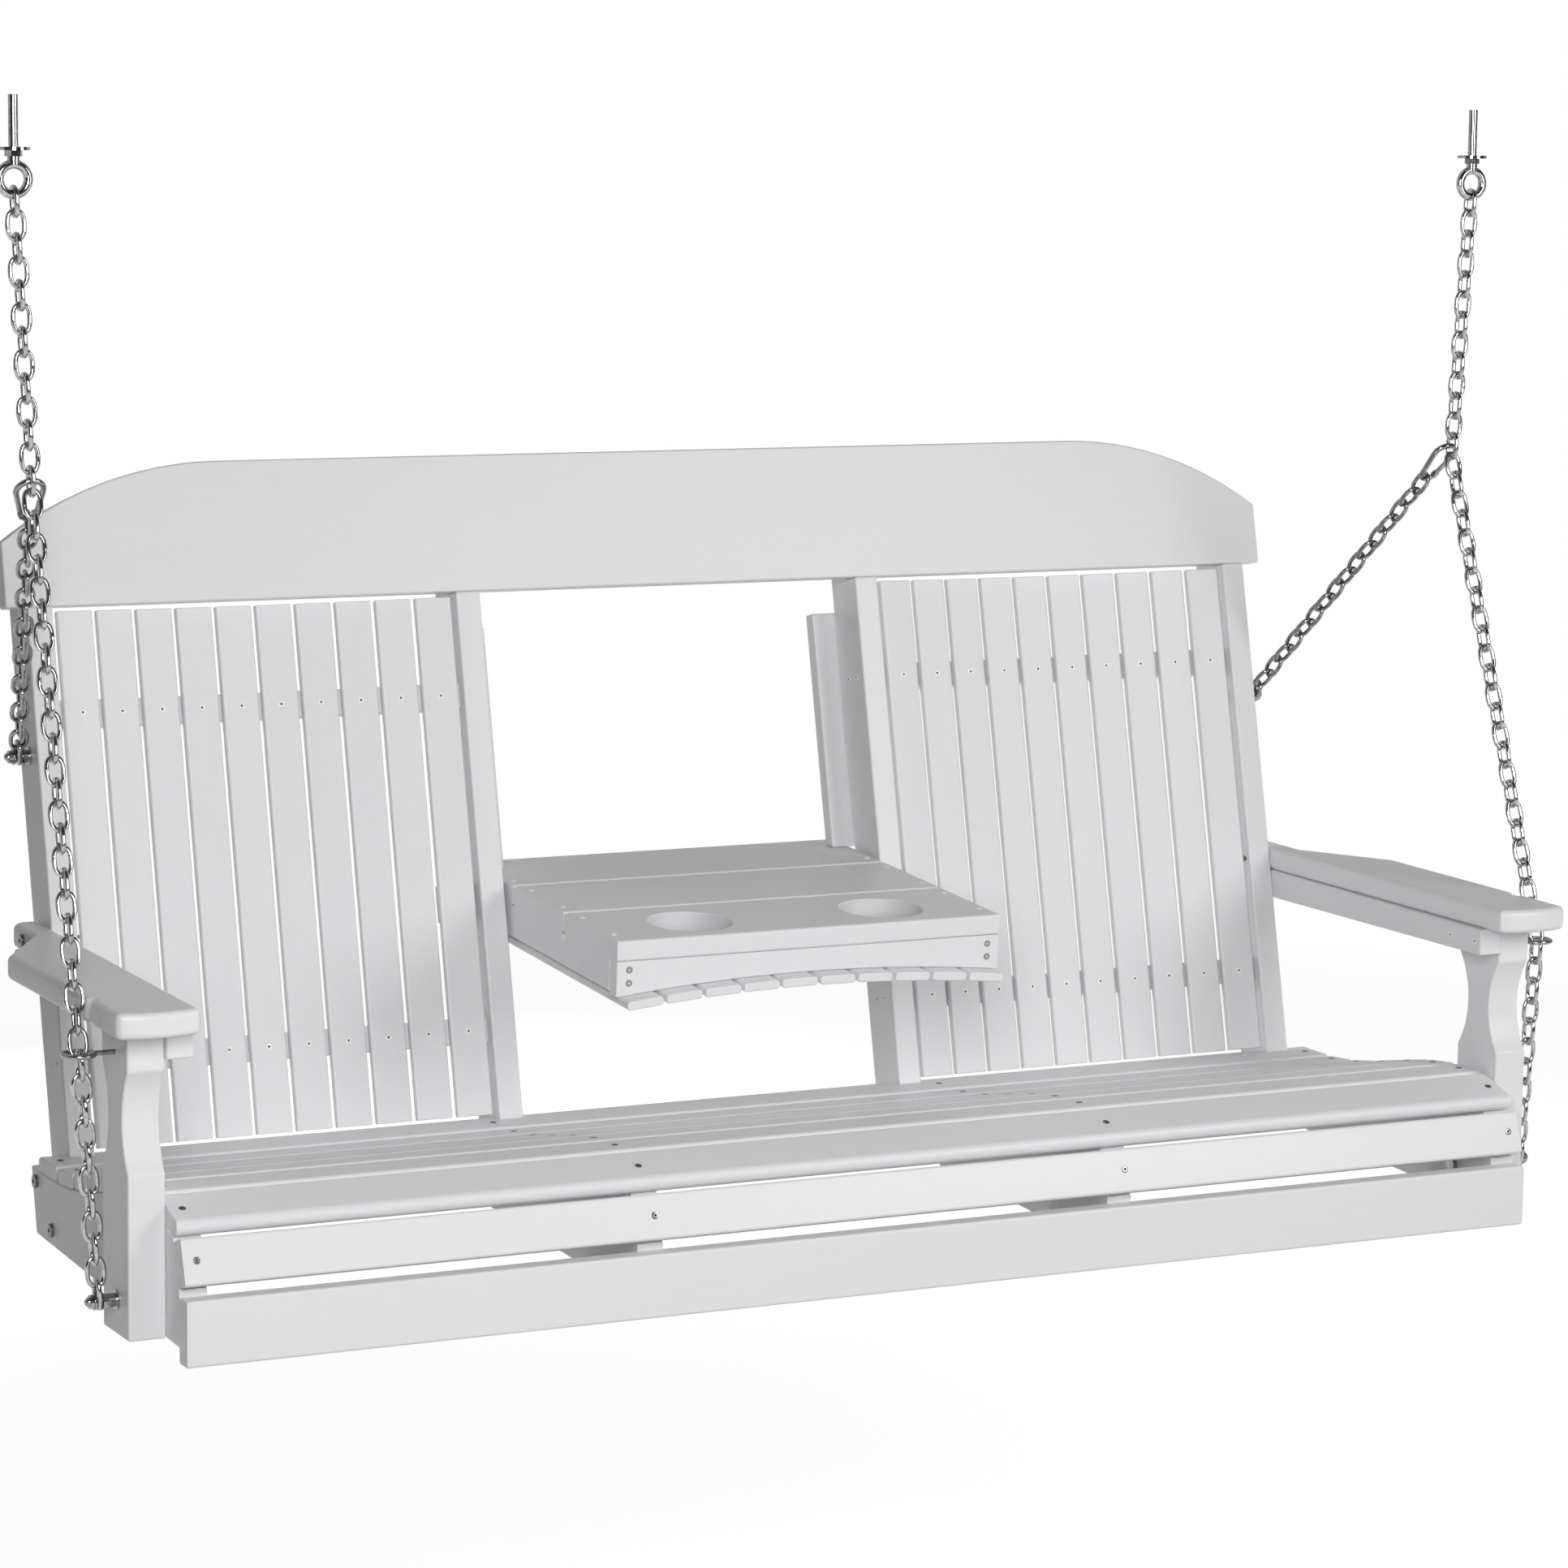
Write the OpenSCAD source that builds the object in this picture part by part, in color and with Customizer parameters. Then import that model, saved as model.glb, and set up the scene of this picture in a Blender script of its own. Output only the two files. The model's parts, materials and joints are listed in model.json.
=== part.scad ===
// Hanging garden swing seat for two, with a fold-down console between the seats.
// X runs along the seat, +Y points to the back, +Z is up.
// The seat is laid out from its lower front edge, and place() moves it so that
// the origin lies midway between the two hanger studs, in the plane of the beam.

/* [Seat] */
// Length of the seat boards
seat_w = 1524; // [1300:1:1800]
// Thickness of the end boards, mid supports, stiles and arm aprons
frame_t = 28; // [22:0.5:34]
// Width of each seat slat
slat_w = 46; // [38:0.5:48]
// Thickness of each seat slat
slat_t = 16; // [12:0.5:18]
// Distance between the centres of neighbouring seat slats
slat_pitch = 51.2; // [50:0.1:53]
// Number of seat slats between the nose slat and the last slat
slat_count = 6; // [5:1:7]
// Distance of the first seat slat's centre behind the lower apron's face
slat_first_y = 109; // [107:0.5:112]
// Width of the last seat slat, at the foot of the back
last_slat_w = 55; // [46:0.5:56]
// Height of the seat's crest over the lower apron's bottom edge
crest_z = 154; // [140:1:170]
// Depth of the seat's dip under its crest
dip = 37.4; // [20:0.2:44]
// Width of the tilted nose slat
nose_w = 57; // [50:0.5:60]
// Thickness of the nose slat
nose_t = 18; // [14:0.5:20]
// Forward slope of the nose slat, in degrees
nose_slope = 18.5; // [10:0.5:24]
// Height of the lower apron
apron_h = 65; // [58:1:68]
// Thickness of the lower apron
apron_t = 22; // [16:0.5:26]
// Height of the leaning fascia board
fascia_h = 46; // [40:0.5:48]
// Thickness of the fascia board
fascia_t = 20; // [14:0.5:22]
// Backward lean of the fascia board, in degrees
fascia_lean = 18.5; // [10:0.5:22]
// Height of the supports' lower front corner
board_foot_z = 14.5; // [8:0.5:24]
// Height of the supports' lower rear corner
board_heel_z = 33.4; // [24:0.5:44]
// Height of the hidden rear stretcher
stretcher_h = 42; // [30:1:46]
// Width of the hidden front stretcher, which lies flat behind the lower apron
front_stretcher_w = 120; // [96:1:124]
// Thickness of the hidden front stretcher
front_stretcher_t = 32; // [24:0.5:33]

/* [Back] */
// Backward lean of the back, in degrees
recline = 12.74; // [8:0.02:16]
// Distance of the crown rail's lower edge behind the lower apron's face
rail_y = 560.2; // [545:0.2:575]
// Height of the crown rail's lower edge
rail_z = 669.9; // [640:0.5:700]
// Length of the crown rail
rail_w = 1512; // [1480:1:1540]
// Thickness of the crown rail
rail_t = 22; // [16:0.5:28]
// Height of the crown rail in its middle
rail_h = 148; // [120:1:170]
// Drop of the crown rail's arched ends
crown_drop = 80; // [50:1:90]
// Length of each arched end of the crown rail
crown_run = 242; // [180:1:260]
// Depth of the stiles from front to back
stile_d = 60; // [54:0.5:66]
// Distance from the middle to each inner stile
console_bay = 227; // [200:1:240]
// Width of each back slat
back_slat_w = 40; // [34:0.5:41]
// Thickness of the back slats and console slats
back_slat_t = 10; // [8:0.5:12]
// Number of slats in each back panel and under the console
back_slats = 10; // [8:1:10]
// Depth of the hollow across each slat panel
dish = 13; // [6:0.5:15]
// Height of each cross rail
cross_h = 28; // [22:0.5:30]
// Distance of the upper cross rail's middle below the crown rail
cross_top = 111; // [90:1:130]
// Distance of the lower cross rail's middle below the crown rail
cross_low = 471; // [440:1:500]

/* [Console] */
// Distance of the console's front edge behind the lower apron's face
con_y = 205.2; // [190:0.2:220]
// Height of the console's front edge
con_z = 343.1; // [330:0.1:356]
// Backward rise of the console's top, in degrees
con_tilt = 3.76; // [1:0.02:6]
// Length of the console's top from front to back
con_l = 395.6; // [380:0.2:410]
// Clearance between the console and each inner stile
con_gap = 4; // [3:0.25:6]
// Thickness of the console's top boards
top_t = 22; // [16:0.5:24]
// Width of the front top board, which holds the cups
front_board_w = 135.5; // [125:0.5:145]
// Width of the middle top board
mid_board_w = 131; // [120:0.5:140]
// Gap between the top boards
board_gap = 2.5; // [1:0.25:5]
// Radius of each cup hole
cup_r = 44.6; // [38:0.2:46]
// Distance of each cup hole's centre from the middle
cup_x = 112.5; // [100:0.5:130]
// Distance of each cup hole's centre behind the front edge
cup_y = 63; // [63:0.5:75]
// Thickness of the console's front apron
con_apron_t = 18; // [14:0.5:18]
// Overhang of the console slats at the front
slat_nose = 20.5; // [10:0.5:22]
// Depth of the pivot below the console's top
pivot_drop = 30; // [28:0.5:34]

/* [Arms] */
// Thickness of the front posts
post_t = 38; // [30:0.5:44]
// Width of the front posts from front to back
post_w = 75; // [66:0.5:80]
// Distance of the posts' front edge behind the lower apron's face
post_y = 59; // [50:0.5:70]
// Depth of the posts' waist curves
waist = 17; // [8:0.5:20]
// Height of the waist curves' lower end
waist_low = 178; // [170:1:190]
// Height of the waist curves' upper end
waist_top = 278; // [270:1:280]
// Width of the arm boards
arm_w = 84; // [78:1:86]
// Thickness of the arm boards
arm_t = 26; // [22:0.5:28]
// Height of the arms' top at their front end
arm_z = 342.3; // [336:0.1:350]
// Height of the arm aprons
arm_apron_h = 28; // [24:0.5:32]
// Length of the tongue at the rear of each arm, beside the stile
tongue_l = 76; // [64:1:80]

/* [Chains] */
// Thickness of the chain wire
wire_d = 4.8; // [4:0.1:5]
// Outer width of a chain link
link_w = 21.5; // [20:0.1:22]
// Inner length of a chain link
link_in = 22.8; // [22.8:0.05:23.2]
// Distance of the hanging points behind the lower apron's face
hang_y = 268; // [255:0.5:280]
// Height of the hanging points
hang_z = 1104; // [1095:1:1104]
// Distance of each hanging point from the middle
hang_x = 836.6; // [830:0.2:845]
// Radius of the chain bolts
bolt_r = 4; // [3.5:0.1:4.2]
// Thickness of the snap hooks' wire
hook_d = 6; // [5:0.1:6]
// Thickness of the hangers' eye wire
eye_d = 9; // [8:0.2:9.4]
// Radius of the hangers' studs
stud_r = 4.8; // [4:0.1:6]
// Length of the hangers' studs above the beam's face
stud_l = 50; // [40:1:80]

/* [Hidden] */
$fn = 48;
white = [0.86, 0.86, 0.87];
plug = [0.8, 0.8, 0.8];
steel = [0.62, 0.64, 0.66];
fit = 0.06;          // radial clearance of a bolt in its bore
gap = 0.3;           // clearance between curved pieces
eps = 1;             // overshoot of a cut

// Seat layout
half_w = seat_w / 2;
end_in = half_w - frame_t;
stile_out = end_in;
support_in = console_bay + frame_t;
last_slat_y = slat_first_y + (slat_count - 1) * slat_pitch + slat_w / 2
    + (slat_pitch - slat_w) + last_slat_w / 2;
fascia_y = 4;
fascia_z = apron_h + 14;
nose_y = 52;
nose_z = crest_z - 10;
nose_front = 27.3;
slat_r = 4;

// Back layout
panel_in = support_in;
panel_out = stile_out - frame_t;
panel_w = panel_out - panel_in;
panel_mid = (panel_out + panel_in) / 2;
back_pitch = (panel_w - 6) / back_slats;
edge_off = 2.5;
slat_top = 5;
slat_foot = 562;
stile_foot = 630;
stile_head = 52;
heel_off = stile_d - 18;

// Console layout
con_half = console_bay - con_gap;
side_h = stile_d - top_t;
side_lift = hollow(con_half - frame_t) + 0.3;   // clears the hollow row of slats
lift_gap = 0.5;
pivot_off = stile_d - lift_gap - pivot_drop;
pivot_t = (pivot_off - back_off(con_y + pivot_drop * sin(con_tilt),
    con_z - pivot_drop * cos(con_tilt))) / cos(con_tilt + recline);
pivot_y = con_y + pivot_t * cos(con_tilt) + pivot_drop * sin(con_tilt);
pivot_z = con_z + pivot_t * sin(con_tilt) - pivot_drop * cos(con_tilt);
pivot_s = back_s(pivot_y, pivot_z);
strip_t = 18;
strip_in = console_bay - 27;

// Arm layout
arm_slope = 0.46;
arm_in = half_w - 24;
arm_out = arm_in + arm_w;
arm_front = 15;
arm_bow = 9;
arm_bend_y = 357;
tongue_y = arm_bend_y + 1.72 * (arm_out - half_w);
tongue_end = tongue_y + tongue_l;
post_out = half_w + post_t;
post_foot = 16;
arm_apron_y = 55;
arm_apron_end = tongue_end - 14;

// Hardware layout
low_bolt = [post_y + post_w / 2 - 2.5, 50.3];
rear_bolt_s = 151.6;
rear_bolt_off = stile_d / 2;
rear_bolt = [back_y(rear_bolt_off, -rear_bolt_s), back_z(rear_bolt_off, -rear_bolt_s)];
low_link_x = post_out + 18.5;
rear_link_x = stile_out + 12;
low_slack = 0.7;     // play of the end links between their washers
rear_slack = 2;
joint_pt = [821.4, hang_y, 812.8];
ring_pt = [post_out + 35.7, low_bolt[0] + 0.7, 292.3];
hang_pt = [hang_x, hang_y, hang_z];
low_pt = [low_link_x, low_bolt[0], low_bolt[1] - bolt_r - 0.15];
hook_r1 = 13.5;
hook_r2 = 8.5;
hook_span = 32;
hook_len = hook_r1 + hook_span + hook_r2;
top_links = 13;
mid_links = 25;
low_links = 11;
rear_links = 17;
eye_r = 14.5;
eye_z = hang_z + (link_in - 22.4) / 2 - gap - eye_d / 2;
beam_z = eye_z + eye_r * 2 + eye_d / 2 + 12;
ring_r = 15;
ring_d = 5;

// Points in the leaning back, from its front plane (off) and along it (s)
function back_y(off, s) = rail_y + off * cos(recline) + s * sin(recline);
function back_z(off, s) = rail_z - off * sin(recline) + s * cos(recline);
function back_off(y, z) = (y - rail_y) * cos(recline) - (z - rail_z) * sin(recline);
function back_s(y, z) = (y - rail_y) * sin(recline) + (z - rail_z) * cos(recline);
// Height and slope of the dished seat
function seat_z(y) = crest_z - dip / 2 + dip / 2 * cos(180 * (y - 110) / 290);
function seat_slope(y) = -atan(dip / 2 * PI / 290 * sin(180 * (y - 110) / 290));
function slat_y(k) = slat_first_y + k * slat_pitch;
// Centre of back slat k of a panel, from the panel's middle
function back_slat_x(k) = (k - (back_slats - 1) / 2) * back_pitch;
// Depth of the hollow at a distance x from a panel's middle
function hollow(x) = dish * (1 - pow(2 * x / panel_w, 2));
function hollow_turn(x) = atan(8 * dish * x / pow(panel_w, 2));
// Two lower corners of a seat slat, on the supports
function slat_seat(y, z, turn, w, t) = [for (e = [-w / 2, w / 2])
    [y + e * cos(turn) + t * sin(turn), z + e * sin(turn) - t * cos(turn)]];

function unit(v) = v / norm(v);
down_dir = unit(joint_pt - hang_pt);
hook_top = joint_pt - down_dir * 11.2 + [0, (link_w - 2 * wire_d) / 2 - hook_d / 2 - gap, 0];
rear_end = [rear_link_x, rear_bolt[0], rear_bolt[1]];
rear_dir = unit(rear_end - hook_top);
rear_start = hook_top + rear_dir * (hook_len - hook_d / 2);
rear_stop = rear_end + rear_dir * (bolt_r + 0.15);

module place() translate([0, -hang_y, -beam_z]) children();
module back_frame() translate([0, rail_y, rail_z]) rotate([-recline, 0, 0]) children();
module console_frame() translate([0, con_y, con_z]) rotate([con_tilt, 0, 0]) children();
module arm_frame() translate([0, arm_front, arm_z]) rotate([arm_slope, 0, 0]) children();
module other_side() mirror([1, 0, 0]) children();
module both() { children(); other_side() children(); }

// Outline in Y and Z, drawn out along X from x0 over a length
module along_x(x0, length) translate([x0, 0, 0]) rotate([90, 0, 90])
    linear_extrude(length) children();

// Rod along X at a point in Y and Z
module rod_x(x0, x1, p, r) translate([x0, p[0], p[1]]) rotate([0, 90, 0])
    cylinder(r = r, h = x1 - x0, $fn = 32);

// Rectangle from a corner, with its four corners rounded
module soft_rect(w, h, r) {
    translate([r, 0]) square([w - 2 * r, h]);
    translate([0, r]) square([w, h - 2 * r]);
    for (x = [r, w - r], y = [r, h - r]) translate([x, y]) circle(r);
}

// Screw along +Z with its head's face at the origin and a small drive recess
head_r = 3.6;
head_h = 2.4;
shank_r = 2;
module screw(length) {
    difference() {
        translate([0, 0, -head_h]) cylinder(r = head_r, h = head_h, $fn = 24);
        translate([0, 0, -1]) cylinder(r = 1.3, h = 1 + eps, $fn = 16);
    }
    translate([0, 0, -length]) cylinder(r = shank_r, h = length - head_h, $fn = 16);
}
// Hole that takes such a screw flush with the surface
module screw_hole(length) {
    translate([0, 0, -head_h - 0.1]) cylinder(r = head_r + 0.15, h = head_h + eps, $fn = 24);
    translate([0, 0, -length - 0.2]) cylinder(r = shank_r + 0.1, h = length, $fn = 16);
}

// ---- Screw places, shared by the screws and the boards they go through ----
support_xs = [for (s = [-1, 1], x = [half_w - frame_t / 2, support_in + frame_t / 2]) s * x];
screw_l = 34;
module seat_screw_places() {
    for (x = support_xs) {
        translate([x, nose_y, nose_z]) rotate([nose_slope, 0, 0]) children();
        for (k = [0:slat_count - 1])
            translate([x, slat_y(k), seat_z(slat_y(k))])
                rotate([seat_slope(slat_y(k)), 0, 0]) children();
        translate([x, last_slat_y, crest_z - dip]) children();
        translate([x, fascia_y, fascia_z]) rotate([-fascia_lean, 0, 0])
            translate([0, 0, fascia_h / 2 + 1]) rotate([90, 0, 0]) children();
    }
}
// Up into the mid supports, and in through the end boards behind the posts
stretcher_screw_l = 54;
module stretcher_screw_places() both() {
    for (y = [50, 108]) translate([support_in + frame_t / 2, y, under_z])
        rotate([180, 0, 0]) children();
    for (y = [75, 118]) translate([half_w, y, under_z + front_stretcher_t - 8])
        rotate([0, 90, 0]) children();
}
module back_screw_places() back_frame() for (side = [-1, 1], k = [0:back_slats - 1])
    translate([side * panel_mid + back_slat_x(k), edge_off + hollow(back_slat_x(k)), 0])
        rotate([0, 0, -hollow_turn(back_slat_x(k))]) for (s = [cross_top, cross_low])
            translate([0, 0, -s]) rotate([90, 0, 0]) children();
module stile_screw_places() both() back_frame() for (s = [cross_top, cross_low], o = [18, 37]) {
    translate([console_bay, o, -s]) rotate([0, -90, 0]) children();
    translate([stile_out, o, -s]) rotate([0, 90, 0]) children();
}
con_boards = [0, front_board_w + board_gap, front_board_w + mid_board_w + 2 * board_gap, con_l
    + board_gap];
con_top_x = con_half - 9;
con_edge_x = con_half - frame_t / 2;
// Insets of the screws from the front and rear edge of each top board
board_insets = [[30, 26], [23, 26], [21, 25]];
module console_screw_places() console_frame() for (x = [-con_top_x, con_top_x], k = [0:2],
    t = [con_boards[k] + board_insets[k][0], con_boards[k + 1] - board_gap - board_insets[k][1]])
    translate([x, t, 0]) children();
module console_face_screws() console_frame() for (x = [-con_edge_x, con_edge_x], d = [31, 45])
    translate([x, 0, -d]) rotate([90, 0, 0]) children();
module console_side_screws() both() console_frame() for (t = con_rails)
    translate([con_half, t + con_rail_t / 2, -top_t - 5]) rotate([0, 90, 0]) children();
module arm_screw_places() both() for (y = [66, 112])
    translate([end_in, y, 303]) rotate([0, -90, 0]) children();

// ---- Seat ----
// Outline of an end board or a mid support, with a flat under each slat
module support_outline() {
    slats = [for (k = [0:slat_count - 1]) each
        slat_seat(slat_y(k), seat_z(slat_y(k)), seat_slope(slat_y(k)), slat_w, slat_t)];
    nose = slat_seat(nose_y + (nose_w / 2 - nose_front) * cos(nose_slope),
        nose_z + (nose_w / 2 - nose_front) * sin(nose_slope), nose_slope, nose_w, nose_t);
    fascia_foot = [fascia_y + fascia_t * cos(fascia_lean), fascia_z - fascia_t * sin(fascia_lean)];
    // where the fascia's back plane meets the nose slat's underside
    rise = ((nose[1][1] - fascia_foot[1]) - (nose[1][0] - fascia_foot[0]) * tan(nose_slope))
        / (cos(fascia_lean) - sin(fascia_lean) * tan(nose_slope));
    corner = fascia_foot + rise * [sin(fascia_lean), cos(fascia_lean)];
    last = slat_seat(last_slat_y, crest_z - dip, 0, last_slat_w, slat_t);
    polygon(concat([[apron_t, board_foot_z], [apron_t, fascia_foot[1]], fascia_foot, corner,
        nose[1]], slats, last,
        [[heel_y(last[1][1] + 2), last[1][1] + 2], [heel_y(board_heel_z), board_heel_z]]));
}
// Rear edge of the supports, parallel to the back
function heel_y(z) = rail_y + heel_off / cos(recline) + (z - rail_z) * tan(recline);

stretcher_y = 394;
stretcher_t = 22;
under_z = 1;         // underside of the front stretcher
module support_board(x0, notch) color(white) difference() {
    along_x(x0, frame_t) support_outline();
    if (notch) {
        translate([x0 - eps, stretcher_y, 0])
            cube([frame_t + 2 * eps, stretcher_t, board_heel_z + stretcher_h]);
        translate([x0 - eps, 0, 0])
            cube([frame_t + 2 * eps, apron_t + front_stretcher_w, under_z + front_stretcher_t]);
    }
    stretcher_screw_places() screw_hole(stretcher_screw_l);
    seat_screw_places() screw_hole(screw_l);
    frame_bolt_places() bolt_hole();
    rod_x(end_in - eps, half_w + eps, low_bolt, bolt_r + fit);
    other_side() rod_x(end_in - eps, half_w + eps, low_bolt, bolt_r + fit);
}
module rear_stretcher() color(white) difference() {
    translate([-end_in, stretcher_y, board_heel_z])
        cube([2 * end_in, stretcher_t, stretcher_h]);
    frame_bolt_places() bolt_hole();
}
module front_stretcher() color(white) difference() {
    translate([-end_in, apron_t, under_z])
        cube([2 * end_in, front_stretcher_w, front_stretcher_t]);
    stretcher_screw_places() screw_hole(stretcher_screw_l);
}
module seat_slat(k) color(white) difference() {
    y = slat_y(k);
    translate([0, y, seat_z(y)]) rotate([seat_slope(y), 0, 0])
        along_x(-half_w, seat_w) translate([-slat_w / 2, -slat_t]) soft_rect(slat_w, slat_t, slat_r);
    seat_screw_places() screw_hole(screw_l);
}
module seat_last_slat() color(white) difference() {
    translate([0, last_slat_y, crest_z - dip]) along_x(-half_w, seat_w)
        translate([-last_slat_w / 2, -slat_t]) soft_rect(last_slat_w, slat_t, slat_r);
    both() back_frame() for (x = [console_bay, panel_out])
        translate([x - 1, -1, -stile_foot]) cube([frame_t + 2, stile_d, stile_foot]);
    seat_screw_places() screw_hole(screw_l);
}
module seat_nose_slat() color(white) difference() {
    nose_r = nose_t / 2 - 0.5;
    translate([0, nose_y, nose_z]) rotate([nose_slope, 0, 0]) along_x(-half_w, seat_w)
        translate([-nose_front, -nose_t]) {
            translate([nose_r, 0]) square([nose_w - nose_r - slat_r, nose_t]);
            translate([0, nose_r]) square([nose_w, nose_t - 2 * nose_r]);
            translate([nose_w / 2, slat_r]) square([nose_w / 2, nose_t - 2 * slat_r]);
            for (z = [nose_r, nose_t - nose_r]) translate([nose_r, z]) circle(nose_r);
            for (z = [slat_r, nose_t - slat_r]) translate([nose_w - slat_r, z]) circle(slat_r);
        }
    seat_screw_places() screw_hole(screw_l);
}
module fascia_board() color(white) difference() {
    translate([0, fascia_y, fascia_z]) rotate([-fascia_lean, 0, 0])
        along_x(-half_w, seat_w) soft_rect(fascia_t, fascia_h, 3);
    seat_screw_places() screw_hole(screw_l);
}
module lower_apron() color(white)
    along_x(-half_w, seat_w) soft_rect(apron_t, apron_h, 3);

// ---- Back ----
module crown_rail() color(white) back_frame() translate([0, rail_t, 0]) rotate([90, 0, 0])
    linear_extrude(rail_t) intersection() {
        crown_r = (crown_run * crown_run + crown_drop * crown_drop) / (2 * crown_drop);
        flat_x = rail_w / 2 - crown_run;
        translate([-rail_w / 2, 0]) square([rail_w, rail_h]);
        union() {
            translate([-flat_x, 0]) square([2 * flat_x, rail_h]);
            for (s = [-1, 1]) translate([s * flat_x, rail_h - crown_r]) circle(crown_r, $fn = 180);
        }
    }
module stile(x0) color(white) difference() {
    back_frame() difference() {
        translate([x0, 0, -stile_foot]) cube([frame_t, stile_d, stile_foot + stile_head]);
        translate([x0 - eps, -eps, 0]) cube([frame_t + 2 * eps, rail_t + eps, stile_head + eps]);
    }
    stile_screw_places() screw_hole(screw_l + 12);
    frame_bolt_places() bolt_hole();
    both() rod_x(console_bay - eps, support_in + eps, [pivot_y, pivot_z], bolt_r + fit);
    both() rod_x(panel_out - eps, stile_out + eps, rear_bolt, bolt_r + fit);
}
module cross_rail(side, s) color(white) difference() {
    rail_d = stile_d - 14;
    back_frame() translate([side * panel_mid, 0, -s - cross_h / 2]) linear_extrude(cross_h)
        difference() {
            translate([-panel_w / 2, 0]) square([panel_w, edge_off + back_slat_t + rail_d - 10]);
            dish_r = (panel_w * panel_w / 4 + dish * dish) / (2 * dish);
            translate([0, edge_off + back_slat_t + dish - dish_r]) circle(dish_r, $fn = 360);
        }
    stile_screw_places() screw_hole(screw_l + 12);
    back_screw_places() screw_hole(screw_l);
}
module slat_panel(side) color(white) difference() {
    back_frame() for (k = [0:back_slats - 1]) {
        x = back_slat_x(k);
        translate([side * panel_mid + x, edge_off + hollow(x), -slat_foot])
            rotate([0, 0, -hollow_turn(x)]) translate([-back_slat_w / 2, 0, 0])
                linear_extrude(slat_foot - slat_top) soft_rect(back_slat_w, back_slat_t - gap, 3);
    }
    back_screw_places() screw_hole(screw_l);
}
module console_stop_strips() color(white) both() difference() {
    back_frame() translate([strip_in, stile_d, -330])
        cube([support_in - strip_in, strip_t, 330 - 33]);
    console_frame() translate([0, 0, -100 + gap]) cube([support_in + eps, con_l + 50, 100]);
}
block_l = 38;
block_h = 40;
module pivot_blocks() color(white) both() difference() {
    back_frame() translate([support_in, stile_d - block_l, pivot_s - 14])
        cube([frame_t, block_l, block_h]);
    rod_x(support_in - eps, support_in + frame_t + eps, [pivot_y, pivot_z], bolt_r + fit);
}

// ---- Console ----
module console_top_board(k) color(white) difference() {
    w = con_boards[k + 1] - board_gap - con_boards[k];
    console_frame() difference() {
        along_x(-con_half, 2 * con_half) translate([con_boards[k], -top_t]) soft_rect(w, top_t, 3);
        if (k == 0) for (s = [-1, 1]) translate([s * cup_x, cup_y, -top_t - eps])
            cylinder(r = cup_r, h = top_t + 2 * eps, $fn = 96);
    }
    console_screw_places() screw_hole(screw_l);
}
module console_side() color(white) difference() {
    console_frame() translate([con_half - frame_t, con_apron_t, -stile_d + side_lift])
        cube([frame_t, con_l - con_apron_t, side_h - side_lift]);
    rod_x(con_half - frame_t - eps, con_half + eps, [pivot_y, pivot_z], bolt_r + fit);
    console_screw_places() screw_hole(screw_l);
    console_face_screws() screw_hole(screw_l + 20);
    console_side_screws() screw_hole(screw_l + 12);
}
// Piece across the console whose lower edge follows the hollow of the slats
module arched_piece(t, thick, half) console_frame() translate([0, t + thick, -stile_d])
    rotate([90, 0, 0]) linear_extrude(thick) difference() {
        translate([-half, 0]) square([2 * half, side_h]);
        dish_r = (panel_w * panel_w / 4 + dish * dish) / (2 * dish);
        translate([0, dish - dish_r]) circle(dish_r, $fn = 360);
    }
module console_front_apron() color(white) difference() {
    arched_piece(0, con_apron_t, con_half);
    console_face_screws() screw_hole(screw_l + 20);
}
// Rails across the console: one under the first two boards' gap, one at its rear end
con_rail_t = 22;
con_rails = [front_board_w + board_gap / 2 - con_rail_t / 2, con_l - con_rail_t];
module console_cross_rails() color(white) difference() {
    for (t = con_rails) arched_piece(t, con_rail_t, con_half - frame_t);
    console_side_screws() screw_hole(screw_l + 12);
}
module console_slats() color(white) console_frame() for (k = [0:back_slats - 1]) {
    x = back_slat_x(k) * (2 * con_half - 2) / (panel_w - 2);
    translate([x, -slat_nose, -stile_d - back_slat_t + hollow(x)])
        rotate([0, hollow_turn(x), 0]) translate([-back_slat_w / 2, 0, 0]) rotate([-90, 0, 0])
            translate([0, -back_slat_t + gap, 0])
                linear_extrude(con_l + slat_nose) soft_rect(back_slat_w, back_slat_t - gap, 3);
}
module pivot_bolts() color(steel) both() {
    p = [pivot_y, pivot_z];
    rod_x(con_half - frame_t - 1, support_in + frame_t + 8, p, bolt_r);
    rod_x(con_half - frame_t - 6, con_half - frame_t - gap, p, 7);
    difference() {
        rod_x(con_half + gap, console_bay - gap, p, 10);
        rod_x(con_half, console_bay, p, bolt_r + 0.2);
    }
    rod_x(support_in + frame_t, support_in + frame_t + 1.6, p, 10);
    rod_x(support_in + frame_t + 1.6, support_in + frame_t + 7, p, 6.5);
}

// ---- Arms ----
module arm_post() color(white) difference() {
    waist_r = (pow((waist_top - waist_low) / 2, 2) + waist * waist) / (2 * waist);
    under = arm_z - arm_t / cos(arm_slope);
    along_x(half_w, post_t) difference() {
        polygon([[post_y, post_foot], [post_y + post_w, post_foot],
            [post_y + post_w, under + (post_y + post_w - arm_front) * tan(arm_slope)],
            [post_y, under + (post_y - arm_front) * tan(arm_slope)]]);
        for (e = [[post_y + waist - waist_r, 0], [post_y + post_w - waist + waist_r, 0]])
            translate([e[0], (waist_top + waist_low) / 2]) circle(waist_r, $fn = 120);
    }
    rod_x(half_w - eps, post_out + eps, low_bolt, bolt_r + fit);
    rod_x(post_out - 26, post_out + eps, [ring_pt[1], ring_pt[2]], ring_d / 2 + fit);
    arm_screw_places() screw_hole(screw_l + 18);
}
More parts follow.
